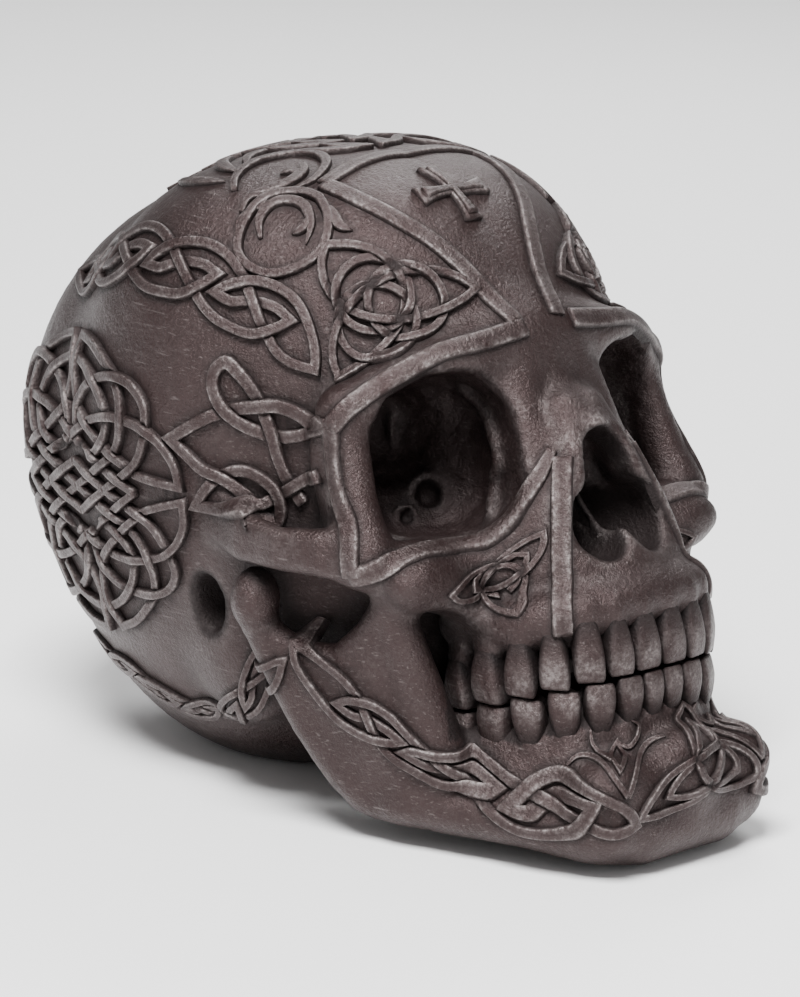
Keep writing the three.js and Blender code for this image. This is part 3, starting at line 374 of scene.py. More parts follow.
# %% Inside the eye sockets
socket_fold = cord([
    (11.4, -27.8, 85.1, 1.2), (10, -32.3, 82.2, 1.5), (10.5, -35.6, 78.3, 1.7), (11.7, -38.8, 73.4, 1.7),
    (11.6, -37.7, 67.6, 1.7), (16, -40.8, 63.2, 1.3),
])
RING_STEPS = 13


def ring_on_wall(centre, across, up, radius, thickness):
    """A raised ring, like the ones round the nerve openings at the back of a socket."""
    spots = []
    for t in np.linspace(0, 2 * math.pi, RING_STEPS):
        spot = np.array(centre) + radius * (math.cos(t) * np.array(across) + math.sin(t) * np.array(up))
        spots.append((*spot, thickness))
    return cord(spots)


nerve_place, small_place = (15.9, -23.5, 63.9), (22.4, -24.4, 60.6)
nerve_hole, small_hole = 2.5, 1.3
nerve_ring, small_ring = (3.7, 0.95), (2.1, 0.7)
wall_across, wall_up = (0.9, 0.43, 0.05), (-0.28, 0.31, 0.91)
nerve_rings = join(
    0.6,
    ring_on_wall(nerve_place, wall_across, wall_up, *nerve_ring),
    ring_on_wall(small_place, wall_across, wall_up, *small_ring),
    cord([(14.4, -12.9, 80, 0.9), (15.4, -12.6, 76, 1.3), (15.2, -13, 71.6, 0.8)]),
)
print("rings in the socket, mm across:", 2 * sum(nerve_ring), 2 * sum(small_ring))

# %% [markdown]
# ## The rows of teeth
# The casting shows two full rows of teeth, nearly closed. Each tooth could be placed by hand, but
# then the gaps never come out even. The teeth stand on a squarish curve instead, and walking along
# it tooth by tooth gives each one its place and the way it faces. The same walk serves the core
# behind the teeth, the gum folds over their roots and, later, the teeth themselves.

# %% Where each tooth stands
BITE = {"front": -70.5, "height": 36.9, "fall": 0.36, "gap": 0.4}
UPPER_ROW = {
    "half": 26, "depth": 33, "back": -38.2, "bend": 3.1, "up": 1, "lean": 0.13,
    "widths": (7.2, 6.3, 6.6, 6.4, 7, 8.2, 6.4), "heights": (8.6, 8.5, 9.4, 8.4, 8, 7.6, 7),
}
LOWER_ROW = {
    "half": 25.2, "depth": 32.8, "back": -38.6, "bend": 3, "up": -1, "lean": -0.1,
    "widths": (5.4, 6.2, 6.6, 6.8, 7.4, 8.4, 7.2), "heights": (6.8, 7, 7.4, 7.2, 7, 6.8, 6.4),
}
ROW_TURN, ROW_STEPS = 1.55, 4000
FIRST_MOLAR = 5


def tooth_places(row):
    t = np.linspace(0, ROW_TURN, ROW_STEPS)
    curve = np.stack([
        row["half"] * np.sin(t) ** (2 / row["bend"]),
        row["back"] - row["depth"] * np.cos(t) ** (2 / row["bend"]),
    ], 1)
    run = np.concatenate([[0], np.cumsum(np.hypot(*np.diff(curve, axis=0).T))])
    middles = np.cumsum(row["widths"]) - np.array(row["widths"]) / 2
    places = []
    for i, middle in enumerate(middles):
        k = int(np.clip(np.searchsorted(run, middle), 1, len(t) - 2))
        way = curve[k + 1] - curve[k - 1]
        x, y = curve[k]
        bite = BITE["height"] - BITE["fall"] * (y - BITE["front"]) + BITE["gap"] * row["up"]
        places.append({
            "x": x, "y": y, "yaw": math.atan2(way[1], way[0]), "bite": bite,
            "width": row["widths"][i], "height": row["heights"][i], "molar": i >= FIRST_MOLAR,
        })
    return places


print("teeth on one side:", len(tooth_places(UPPER_ROW)), "over", len(tooth_places(LOWER_ROW)))

# %% The core and the gums
CORE_TIP = {"rise": 2.6, "inset": 3.4, "radius": 0.36}
CORE_ROOT = {"past": 1, "inset": 0.32, "radius": 0.31}
FOLD = {"past": 2.9, "inset": 1.6, "half_width": 0.4, "half_depth": 2.5, "half_height": 3.6}


def by_tooth(p, row, rise, inset):
    """A place so far up a tooth from its biting edge, and so far behind the line of the row."""
    return (
        p["x"] - math.sin(p["yaw"]) * inset,
        p["y"] + math.cos(p["yaw"]) * inset + row["lean"] * rise,
        p["bite"] + row["up"] * rise,
    )


def tooth_core(row):
    """The iron behind the teeth, as one rod for each tooth."""
    rods = []
    for p in tooth_places(row):
        tip = by_tooth(p, row, CORE_TIP["rise"], CORE_TIP["inset"])
        root = by_tooth(p, row, p["height"] + CORE_ROOT["past"], p["width"] * CORE_ROOT["inset"])
        rods.append(rod((*tip, p["width"] * CORE_TIP["radius"]), (*root, p["width"] * CORE_ROOT["radius"])))
    return join(1.5, *rods)


def gum_folds(row):
    """A soft swelling over the root of each tooth, which ends in a lip over the tooth's neck."""
    folds = []
    for p in tooth_places(row):
        centre = by_tooth(p, row, p["height"] + FOLD["past"], FOLD["inset"])
        radii = (p["width"] * FOLD["half_width"], FOLD["half_depth"], FOLD["half_height"])
        folds.append(ellipsoid(centre, radii, (0, 0, p["yaw"] / DEGREE)))
    return join(0.8, *folds)


print("core of the upper row, widest half width, mm:", round(float(tooth_core(UPPER_ROW).high[0]), 1))

# %% [markdown]
# ## Putting the bone together
# The order matters, as it does with clay. What is cut early is partly filled again by what is
# added later, so the temples are hollowed before the arch goes over them, and the eye sockets are
# cut after their rims stand. The last number in each line is the size of the fillet.

# %% Put the bone together
field = join(8, braincase, glabella).distance(
    grid_axes[0][:, None, None], grid_axes[1][None, :, None], grid_axes[2][None, None, :])
cut(field, temple_hollow, 7)
add(field, brow, 4)
add(field, join(0, cheek, upper_jaw), 5)
add(field, join(3, nose_side, nose_ridge), 3)
add(field, join(2, outer_rim, lower_rim, inner_rim, side_wall), 2.5)
cut(field, behind_rim, 3)
cut(field, under_cheek, 3)
add(field, arch, 3)
add(field, upper_gum, 3)
cut(field, socket, 1.6)
cut(field, mouth_corner, 3)
add(field, lower_jaw, 3)
add(field, mouth_filling, 4)
add(field, jaw_branch, 2)
cut(field, nose_opening, 1.2)
add(field, join(0, tooth_core(UPPER_ROW), tooth_core(LOWER_ROW)), 2)
add(field, join(0, gum_folds(UPPER_ROW), gum_folds(LOWER_ROW)), 1.2)
add(field, septum, 0.8)
print("deepest point of the iron so far, mm:", round(float(-field.min()), 1))

# %% Sockets, ears and the flat underside
skull_base = ellipsoid((37, 2, 30), (6.5, 10, 13))
ear_hole = ellipsoid((47, 5.8, 41), (9.5, 3.4, 6))
BASE_ROUND = 1.2
add(field, join(0.5, socket_fold, nerve_rings), 1)
for place, radius in ((nerve_place, nerve_hole), (small_place, small_hole)):
    cut(field, ellipsoid(place, (radius, radius, radius)), 0.6)
add(field, skull_base, 9)
cut(field, ear_hole, 1.5)
field = -soft_min(-field, np.broadcast_to(grid_axes[2], field.shape), BASE_ROUND)
print("deepest point of the iron, mm:", round(float(-field.min()), 1))

# %% [markdown]
# ## From distances to a mesh
# Where the distance changes sign between grid points, the skin passes. Blender's remesher could
# find it from a rough mesh, but it rounds off what is thin. So the skin is taken straight from the
# grid: each grid cube that the skin crosses gets one point, at the mean of the crossings of its
# edges, and each crossed grid edge gets a four-sided face between its four cubes. A step or two
# along the slope of the field then puts the points right on the skin.

# %% Sampling the field between grid points
def sample(points):
    """The distance at any points, from the eight grid values round each."""
    place = (np.stack([np.abs(points[:, 0]), points[:, 1], points[:, 2]], 1) - GRID_LOW) / CELL
    inside = np.clip(place, 0, counts - 1.001)
    cell = inside.astype(int)
    t = inside - cell
    total = np.zeros(len(points))
    for corner in range(8):
        step = np.array([corner & 1, (corner >> 1) & 1, corner >> 2])
        weight = np.prod(np.where(step, t, 1 - t), axis=1)
        total += weight * field[tuple((cell + step).T)]
    return total + CELL * np.linalg.norm(place - inside, axis=1)


def slope(points, step=0.6):
    """The direction in which the distance grows, and how fast."""
    out = []
    for k in range(3):
        shift = np.eye(3)[k] * step
        out.append((sample(points + shift) - sample(points - shift)) / (2 * step))
    return np.stack(out, 1)


def unit(v):
    return v / np.maximum(np.linalg.norm(v, axis=-1, keepdims=True), TINY)


ear_slope = slope(np.array([[60.0, 5.8, 41.0]]))[0]
print("slope beside the ear:", ear_slope.round(2))

# %% A mesh where the sign changes
def skin_mesh():
    """The points and the four-sided faces of the whole skin."""
    whole = np.concatenate([field[:0:-1], field])
    low = GRID_LOW - [CELL * (counts[0] - 1), 0, 0]
    inside = whole < 0
    shape = np.array(whole.shape)
    cells = tuple(shape - 1)

    def corner(values, c):
        return values[tuple(slice((c >> k) & 1, cells[k] + ((c >> k) & 1)) for k in range(3))]

    filled = sum(corner(inside, c).astype(np.int8) for c in range(8))
    crossed = (filled > 0) & (filled < 8)
    number = np.full(cells, -1)
    number[crossed] = np.arange(crossed.sum())
    total, hits = np.zeros((crossed.sum(), 3)), np.zeros(crossed.sum())
    values = [corner(whole, c)[crossed] for c in range(8)]
    for a in range(8):
        for k in range(3):
            if a & (1 << k):
                continue
            va, vb = values[a], values[a | (1 << k)]
            change = (va < 0) != (vb < 0)
            t = np.where(change, va / np.where(change, va - vb, 1), 0)
            start = np.array([a & 1, (a >> 1) & 1, a >> 2], float)
            total += change[:, None] * (start + t[:, None] * np.eye(3)[k])
            hits += change
    points = low + CELL * (np.argwhere(crossed) + total / hits[:, None])
    faces = []
    for k in range(3):
        u, v = [(1, 2), (2, 0), (0, 1)][k]
        ahead = [slice(1, n - 1) for n in shape]
        here = inside[tuple(ahead)]
        ahead[k] = slice(2, shape[k])
        there = inside[tuple(ahead)]
        place = np.argwhere(here != there) + 1
        outward = here[tuple((place - 1).T)]
        back_u, back_v = np.eye(3, dtype=int)[u], np.eye(3, dtype=int)[v]
        ring = [number[tuple((place - s).T)] for s in (back_u + back_v, back_v, 0 * back_u, back_u)]
        quad = np.stack(ring, 1)
        quad[~outward] = quad[~outward][:, ::-1]
        faces.append(quad)
    return points, np.concatenate(faces)


# %% Points onto the skin
LEAST_SLOPE = 0.3
skin_points, skin_faces = skin_mesh()
for _ in range(2):
    way = slope(skin_points)
    step = sample(skin_points)[:, None] * way / np.maximum((way**2).sum(1, keepdims=True), LEAST_SLOPE)
    skin_points = skin_points - np.clip(step, -CELL / 2, CELL / 2)
print("skin:", len(skin_points), "points,", len(skin_faces), "faces")

# %% [markdown]
# ## Objects
# One helper turns arrays into a Blender object. Building a mesh from arrays is far quicker than
# adding faces one by one. The points move from the skull's own millimetres to the metres of the
# frame, where the middle of the skull's length is Y = 0. Every piece rides on the one body of the
# part, and all of them get one iron finish later. Marks are numbers kept at the points, which the
# patina reads later.

# %% Arrays to objects
MIDDLE_Y = 3.2
MM = 0.001


def make_piece(name, points, faces, marks=None):
    mesh = bpy.data.meshes.new(name)
    placed = (np.asarray(points) - [0, MIDDLE_Y, 0]) * MM
    mesh.from_pydata(placed.tolist(), [], [list(map(int, f)) for f in faces])
    mesh.update()
    for mark, values in (marks or {}).items():
        mesh.attributes.new(mark, "FLOAT", "POINT").data.foreach_set("value", np.asarray(values, np.float32))
    mesh.shade_smooth()
    piece = bpy.data.objects.new(name, mesh)
    bpy.context.scene.collection.objects.link(piece)
    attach(piece, "root")
    return piece


def points_of(piece):
    """The points of an object, back in the skull's own millimetres."""
    flat = np.empty(len(piece.data.vertices) * 3, np.float32)
    piece.data.vertices.foreach_get("co", flat)
    return flat.reshape(-1, 3) / MM + [0, MIDDLE_Y, 0]


# %% [markdown]
# ## The bone as an object
# The skin has more faces than the bone needs, since its smooth parts are nearly flat. Dissolving
# flat faces would leave long slivers that catch the light. The decimate modifier merges edges
# where that changes the form least, and keeps the small faces at the rims. Its result is taken
# over as the mesh, so that no modifier is left.

# %% The bone as an object
MOST_BONE_TRIANGLES = 185000
bone = make_piece("bone", skin_points, skin_faces)
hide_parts("skull")
thinner = bone.modifiers.new("thinner", "DECIMATE")
thinner.ratio = min(1, MOST_BONE_TRIANGLES / (2 * len(skin_faces)))
bone.data = bpy.data.meshes.new_from_object(bone.evaluated_get(bpy.context.evaluated_depsgraph_get()))
bone.modifiers.clear()
bone.data.name = "bone"
bone.data.shade_smooth()
print("bone triangles:", sum(len(p.vertices) - 2 for p in bone.data.polygons))

# %% [markdown]
# ## The teeth
# On the casting the teeth are worn blocks with dark gaps between them. Cut into the bone, such
# narrow gaps would need a very fine grid, so the teeth are meshes of their own. A tooth is a stack
# of rounded-square rings: narrow and thin at the biting edge, fullest a third of the way up, and
# narrower again where it goes into the gum. Front teeth end in an edge, back teeth in a broad top.

# %% The profile of a tooth
RING_POINTS = 28
ANGLES = np.linspace(0, 2 * math.pi, RING_POINTS, endpoint=False)
TOOTH_STAND = 1.5
TOOTH_RISES = (0, 0.05, 0.14, 0.3, 0.48, 0.66, 0.84, 1, 1.12, 1.3)
TOOTH_WIDTHS = (0.8, 0.9, 0.95, 0.97, 0.96, 0.92, 0.86, 0.78, 0.7, 0.6)
FRONT_DEPTHS = (0.16, 0.26, 0.36, 0.52, 0.66, 0.78, 0.86, 0.86, 0.8, 0.7)
BACK_DEPTHS = (0.62, 0.84, 0.96, 1.02, 1.02, 1, 0.94, 0.86, 0.8, 0.7)
FRONT_FACES = (0.5, 0.3, 0.1, -0.2, -0.36, -0.3, -0.12, 0.1, 0.3, 0.7)
HALF_WIDTH, FRONT_DEPTH, MOLAR_DEPTH = 0.485, 0.9, 1.05
SQUARENESS = 2 / 3.4


def tooth_rings(p, row):
    out = np.array([math.sin(p["yaw"]), -math.cos(p["yaw"]), 0])
    beside = np.array([math.cos(p["yaw"]), math.sin(p["yaw"]), 0])
    ring_x = np.sign(np.cos(ANGLES)) * np.abs(np.cos(ANGLES)) ** SQUARENESS
    ring_y = np.sign(np.sin(ANGLES)) * np.abs(np.sin(ANGLES)) ** SQUARENESS
    half_width = p["width"] * HALF_WIDTH
    full_depth = p["width"] * (MOLAR_DEPTH if p["molar"] else FRONT_DEPTH)
    depths = BACK_DEPTHS if p["molar"] else FRONT_DEPTHS
    rings = []
    for rise, wide, deep, face in zip(TOOTH_RISES, TOOTH_WIDTHS, depths, FRONT_FACES):
        half_depth = full_depth * deep / 2
        middle = np.array([
            p["x"], p["y"] + row["lean"] * rise * p["height"], p["bite"] + row["up"] * rise * p["height"],
        ])
        middle = middle - out * (half_depth + face - TOOTH_STAND)
        ring = middle + np.outer(ring_x * half_width * wide, beside)
        rings.append(ring + np.outer(ring_y * half_depth, out))
    return rings


print("rings in a tooth:", len(TOOTH_RISES), "of", RING_POINTS, "points")

# %% The teeth as one piece
# Painted shade on the teeth: darker toward the gum and on the sides that face the gaps.
GUM_RISE, GUM_SHADE, GAP_SHADE = 0.7, 1.6, 0.8
RUBBED, RUBBED_RISE = 0.6, 0.3


def tooth_marks(rise):
    """Painted shade toward the gum and in the gaps, and wear where the tooth is fullest."""
    deep = np.clip((rise - GUM_RISE) * GUM_SHADE, 0, 1) + np.abs(np.cos(ANGLES)) ** 3 * GAP_SHADE
    high = max(0.0, RUBBED - abs(rise - RUBBED_RISE))
    return [float(d) for d in deep], [high] * RING_POINTS


def teeth_mesh():
    points, faces, deep, high = [], [], [], []
    for row in (UPPER_ROW, LOWER_ROW):
        for p in tooth_places(row):
            rings = tooth_rings(p, row)
            for side in (1, -1):
                start = len(points)
                for rise, ring in zip(TOOTH_RISES, rings):
                    points += [(side * x, y, z) for x, y, z in ring]
                    ring_deep, ring_high = tooth_marks(rise)
                    deep += ring_deep
                    high += ring_high
                turned = row["up"] * side > 0
                for k in range(len(rings) - 1):
                    low, top = start + k * RING_POINTS, start + (k + 1) * RING_POINTS
                    for i in range(RING_POINTS):
                        j = (i + 1) % RING_POINTS
                        face = (low + i, low + j, top + j, top + i)
                        faces.append(face if turned else face[::-1])
                cap = tuple(start + i for i in range(RING_POINTS))
                faces.append(cap[::-1] if turned else cap)
    return points, faces, deep, high


tooth_points, tooth_faces, tooth_deep, tooth_high = teeth_mesh()
teeth = make_piece("teeth", tooth_points, tooth_faces, {"deep": tooth_deep, "high": tooth_high})
print("teeth:", len(tooth_faces), "faces")

# %% [markdown]
# ## Patches for the knotwork
# A knot is easier to draw flat, and a shrinkwrap modifier would then pull it onto the bone, but it
# would also pull it through the gap under the arch. A patch is such a drawing wrapped round the
# skull as seen from a point inside it: u runs toward the back and v runs up, both in millimetres
# from the middle of the patch. Each flat point lies where its own ray meets the skin, from outside,
# or from inside where something else, such as the arch beside the temple, stands in front.

# %% Flat places onto the skin
RAY_STEPS, RAY_START, CLOSE = 90, 60, 0.01


class Patch:
    """A flat drawing board round a point inside the skull."""

    def __init__(self, inside, middle, outward=False):
        self.inside, self.outward = np.array(inside, float), outward
        way = np.array(middle, float) - self.inside
        self.distance = float(np.linalg.norm(way))
        self.out = way / self.distance
        self.up = unit(np.array([0, 0, 1.0]) - self.out[2] * self.out)
        self.back = np.cross(self.up, self.out)

    def on_skin(self, flat):
        flat = np.asarray(flat, float)
        run = np.maximum(np.hypot(flat[:, 0], flat[:, 1]), TINY)[:, None]
        side = (flat[:, :1] * self.back + flat[:, 1:] * self.up) / run
        rays = np.cos(run / self.distance) * self.out + np.sin(run / self.distance) * side
        sign = 1 if self.outward else -1
        reach = np.full(len(flat), 1.0 if self.outward else self.distance + RAY_START)
        for _ in range(RAY_STEPS):
            d = -sign * sample(self.inside + reach[:, None] * rays)
            further = np.maximum(reach + sign * np.clip(0.8 * d, CLOSE, 5), 1)
            reach = np.where(d > CLOSE, further, reach)
        return self.inside + reach[:, None] * rays


SKULL_HEART = (0, 20, 62)
side_patch = Patch(SKULL_HEART, (44.7, 14.2, 105.8))
print("middle of the side patch on the skin, mm:", side_patch.on_skin([(0, 0)])[0].round(1))

# %% [markdown]
# ## A strand
# In the casting each strand is a band with a flat top and worn, rounded edges. Where two strands
# cross, one passes over and the other dips out of sight beneath it, by turns. A curve with a bevel
# would make a band too, but it twists on a curved ground. So a strand is swept along its line with
# a profile of eleven points, and every profile point is laid on the skin by itself, so that the
# band hugs the bone. At a sharp tip the profile is mitred like a picture frame.

# %% The profile of a strand
STEP = 0.72
# For each profile point: its place across in half widths, its rise in heights, how deep in mm it
# is rooted in the bone, how much it is rubbed bright, and how much painted shade it gets.
PROFILE_ACROSS = np.array([-1.12, -1.02, -0.94, -0.8, -0.58, 0, 0.58, 0.8, 0.94, 1.02, 1.12])
PROFILE_RISE = np.array([0, 0, 0.66, 0.96, 1, 0.96, 1, 0.96, 0.66, 0, 0])
PROFILE_ROOT = np.array([-0.9, -0.05, 0, 0, 0, 0, 0, 0, 0, -0.05, -0.9])
PROFILE_HIGH = np.array([0, 0, 0.5, 1, 0.4, 0.1, 0.4, 1, 0.5, 0, 0])
PROFILE_SHADE = np.array([1, 1, 0.55, 0.05, 0, 0.12, 0, 0.05, 0.55, 1, 1])
PROFILE = len(PROFILE_ACROSS)
STAND_OUT = 1.25
UNDER_EDGE, UNDER_DIP, OVER_LIFT = 0.6, 0.55, 0.25
print("profile points:", PROFILE, "and mm along a strand between them:", STEP)

# %% Lines and corners
MITRE_LIMIT = 2.3
MITRE_CLEAR = 0.55


def evenly(points, step=STEP):
    line = smooth_line(points, 12)
    run = np.concatenate([[0], np.cumsum(np.linalg.norm(np.diff(line, axis=0), axis=1))])
    places = np.linspace(0, run[-1], max(3, int(round(run[-1] / step)) + 1))
    return np.stack([np.interp(places, run, line[:, k]) for k in range(line.shape[1])], 1)


def strand_line(arcs, width):
    """Chains arcs that share their ends. Points too near a sharp corner are left out for the mitre."""
    line, corners = evenly(arcs[0]), []
    for arc in arcs[1:]:
        arc = evenly(arc)
        corners.append(arc[0])
        line = np.concatenate([line[:-1], arc])
    keep = np.ones(len(line), bool)
    for corner in corners:
        gap = np.linalg.norm(line - corner, axis=1)
        keep &= (gap > MITRE_CLEAR * width) | (gap < 1e-6)
    return line[keep]


def side_ways(line, closed):
    """The sideways direction at each point, longer at a corner, so that the band keeps its width."""
    before = unit(line - np.roll(line, 1, axis=0))
    after = unit(np.roll(line, -1, axis=0) - line)
    if not closed:
        before[0], after[-1] = after[0], before[-1]
    run = unit(before + after)
    lean = np.clip(np.sum(run * after, axis=1), 1 / MITRE_LIMIT, 1)
    return np.stack([-run[:, 1], run[:, 0]], 1) / lean[:, None]


print("steps along 10 mm of a line:", len(evenly([(0, 0), (10, 0)])) - 1)

# %% [markdown]
# ## Over and under
# A knot only reads as a knot when its strands pass over and under by turns. Blender can't know
# that from the lines, and setting it by hand for more than 150 crossings would take all day. So
# every crossing is found, and then each strand is followed from crossing to crossing, over and
# under by turns. What one strand does at a crossing, the other does the other way round.

# %% Where strands cross
SAME_STRAND_CLEAR, END_CLEAR = 6, 2.5


def crossings(a, b, closed_a):
    """Where two flat lines cross: the step numbers on both, the place, and both directions."""
    pa, da = a[:-1], np.diff(a, axis=0)
    pb, db = b[:-1], np.diff(b, axis=0)
    turn = da[:, None, 0] * db[None, :, 1] - da[:, None, 1] * db[None, :, 0]
    gap = pb[None] - pa[:, None]
    with np.errstate(divide="ignore", invalid="ignore"):
        s = (gap[..., 0] * db[None, :, 1] - gap[..., 1] * db[None, :, 0]) / turn
        t = (gap[..., 0] * da[:, None, 1] - gap[..., 1] * da[:, None, 0]) / turn
    hit = (s >= 0) & (s < 1) & (t >= 0) & (t < 1)
    if a is b:
        i, j = np.indices(hit.shape)
        hit &= j - i > SAME_STRAND_CLEAR
        if closed_a:
            hit &= j - i < len(a) - SAME_STRAND_CLEAR - 2
    found = []
    for i, j in np.argwhere(hit):
        found.append((i + s[i, j], j + t[i, j], pa[i] + s[i, j] * da[i], unit(da[i]), unit(db[j])))
    return found


def spots_along(lines, closed):
    """For each line the (step number, crossing number, place, other way) of its crossings in order."""
    along = [[] for _ in lines]
    total = 0
    for i, a in enumerate(lines):
        for j in range(i, len(lines)):
            for s, t, place, way_a, way_b in crossings(a, lines[j], closed[i]):
                to_end = [min(at, len(lines[k]) - at) for k, at in ((i, s), (j, t)) if not closed[k]]
                if to_end and min(to_end) < END_CLEAR:
                    continue
                along[i].append((s, total, place, way_b))
                along[j].append((t, total, place, way_a))
                total += 1
    for spots in along:
        spots.sort(key=lambda spot: spot[0])
    return along


flat_line, steep_line = evenly([(0, 0), (10, 0)]), evenly([(3, -5), (5, 5)])
print("two lines cross at step", round(float(crossings(flat_line, steep_line, False)[0][0]), 2))

# %% By turns over and under
def over_and_under(lines, closed):
    """For each line a list of (step number, +1 over or -1 under, place, other way), by turns."""
    along = spots_along(lines, closed)
    passes = {}
    for i, spots in enumerate(along):
        for n, spot in enumerate(spots):
            passes.setdefault(spot[1], []).append((i, n))
    level = {}
    for first, spots in enumerate(along):
        queue = [(first, 0, 1)] if spots else []
        while queue:
            i, start, sign = queue.pop()
            for direction in (1, -1):
                n, value = start, sign
                while 0 <= n < len(along[i]) and (n == start or (i, n) not in level):
                    if (i, n) not in level:
                        both = passes[along[i][n][1]]
                        met = [level[spot] for spot in both if spot in level]
                        value = -met[0] if met else value
                        level[i, n] = value
                        queue += [(*spot, -value) for spot in both if spot not in level]
                    n += direction
                    value = -value
    return [
        [(s, level[i, n], place, way) for n, (s, _, place, way) in enumerate(spots)]
        for i, spots in enumerate(along)
    ]


over_or_under = over_and_under([flat_line, steep_line], [False, False])
print("and pass there as", [spots[0][1] for spots in over_or_under])

# %% Closing a band and keeping it
strand_points, strand_faces, strand_high, strand_deep, foot_points = [], [], [], [], []
TAPER_PART = 0.4


def tapered(n, ends):
    """The width along a band, which goes from ends[0] to 1 and on to ends[1]."""
    along = np.linspace(0, 1, n)
    start, stop = (1 - (1 - np.clip(gap / TAPER_PART, 0, 1)) ** 2 for gap in (along, 1 - along))
    return (ends[0] + (1 - ends[0]) * start) * (ends[1] + (1 - ends[1]) * stop)


def keep_band(points, skin, normal, high, deep, closed, both):
    """Closes a band's surface and keeps it, and its mirror image where both sides have it."""
    n = len(skin)
    faces = []
    for i in range(n if closed else n - 1):
        low, top = PROFILE * i, PROFILE * ((i + 1) % n)
        faces += [(low + k, low + k + 1, top + k + 1, top + k) for k in range(PROFILE - 1)]
    if not closed:
        faces += [tuple(range(PROFILE - 1, -1, -1)), tuple(PROFILE * (n - 1) + k for k in range(PROFILE))]
    a, b, d = (points[faces[PROFILE // 2][k]] for k in (0, 1, 3))
    if np.dot(np.cross(b - a, d - a), normal[0]) < 0:
        faces = [face[::-1] for face in faces]
    for sign in (1, -1) if both else (1,):
        start = sum(len(p) for p in strand_points)
        strand_points.append(points * [sign, 1, 1])
        strand_faces.extend(tuple(start + v for v in (face if sign > 0 else face[::-1])) for face in faces)
        strand_high.append(high.ravel())
        strand_deep.append(deep.ravel())
        foot_points.append(skin[:, [1, PROFILE - 2]].reshape(-1, 3) * [sign, 1, 1])


print("width along a leaf:", tapered(5, (0.2, 0.2)).round(2))

# %% Sweeping a strand
OVER_REACH, OVER_SOFT, FAR_AWAY = 2.6, 1.2, 99


def crossing_marks(flat, spots, width, closed):
    """How much each profile point is lifted over, or hidden under, another strand."""
    n = len(flat)
    over, hidden = np.zeros((n, PROFILE)), np.zeros((n, PROFILE))
    for spot, level, place, way in spots:
        away = np.abs(np.arange(n) - spot)
        if closed:
            away = np.minimum(away, n - away)
        to_centre = np.abs((flat - place) @ np.array([-way[1], way[0]]))
        to_centre = np.where(away[:, None] * STEP < OVER_REACH * width, to_centre, FAR_AWAY)
        if level > 0:
            over = np.maximum(over, np.exp(-((to_centre / (0.5 * width + OVER_SOFT)) ** 2)))
        else:
            cover = np.clip((0.5 * width + UNDER_EDGE - to_centre) / UNDER_EDGE, 0, 1)
            hidden = np.maximum(hidden, cover * cover * (3 - 2 * cover))
    return over, hidden


def sweep(patch, line, width, closed=False, spots=(), height=STAND_OUT, ends=(1, 1), mirror=True):
    side = side_ways(line, closed)
    n = len(line)
    taper = np.ones(n) if closed else tapered(n, ends)
    half = width / 2 * taper
    height = height * np.minimum(taper, 1)[:, None] ** 0.5
    flat = line[:, None] + side[:, None] * (half[:, None] * PROFILE_ACROSS)[..., None]
    over, hidden = crossing_marks(flat, spots, width, closed)
    rise = height * (1 + OVER_LIFT * over) * (1 - UNDER_DIP * hidden)
    skin = patch.on_skin(flat.reshape(-1, 2)).reshape(n, PROFILE, 3)
    normal = unit(slope(skin[:, PROFILE // 2], 1.2))
    for _ in range(4):
        blurred = normal + np.roll(normal, 1, 0) + np.roll(normal, -1, 0)
        normal = unit(blurred if closed else np.concatenate([normal[:1], blurred[1:-1], normal[-1:]]))
    lift = rise * PROFILE_RISE + PROFILE_ROOT
    points = skin + normal[:, None] * lift[..., None]
    high = PROFILE_HIGH * (1 - 0.85 * hidden) * (0.9 + 0.4 * over)
    # Painted shade: dark at the foot of the band, darker where it dips under another strand, lighter where
    # it is lifted over.
    deep = np.maximum(PROFILE_SHADE * (1 - 0.5 * over), 0.95 * hidden)
    keep_band(points.reshape(-1, 3), skin, normal, high, deep, closed, mirror)


def lay_knot(patch, strands, width, height=STAND_OUT, mirror=True):
    """Lays strands on a patch. A strand is a list of arcs; one that ends where it began is closed."""
    lines, closed = [], []
    for arcs in strands:
        line = strand_line(arcs, width)
        is_closed = bool(np.linalg.norm(line[0] - line[-1]) < 0.6)
        lines.append(line[:-1] if is_closed else line)
        closed.append(is_closed)
    whole = [np.concatenate([line, line[:1]]) if c else line for line, c in zip(lines, closed)]
    levels = over_and_under(whole, closed)
    for line, is_closed, spots in zip(lines, closed, levels):
        sweep(patch, line, width, is_closed, spots, height, mirror=mirror)
    return sum(len(s) for s in levels) // 2


print("height of a strand over another, mm:", round(STAND_OUT * (1 + OVER_LIFT), 2))

# %% [markdown]
# ## Knots of three points
# The forehead, the chin and the cheeks each carry a knot of three points, a common old ornament:
# three arcs between three tips, each bent past the middle. The one on the forehead runs through
# three rings, and the other two have a second, smaller one inside. Their points could be traced,
# but three tips and one number for the bend say it all, and the arcs then meet exactly.

# %% Knots of three points
TIP_TURNS = (90, 210, 330)
ARC_POINTS, RING_TURN = 13, 12


def round_line(u, v, radius):
    turns = np.arange(0, 361, RING_TURN) * DEGREE
    return [(u + radius * math.cos(t), v + radius * math.sin(t)) for t in turns]


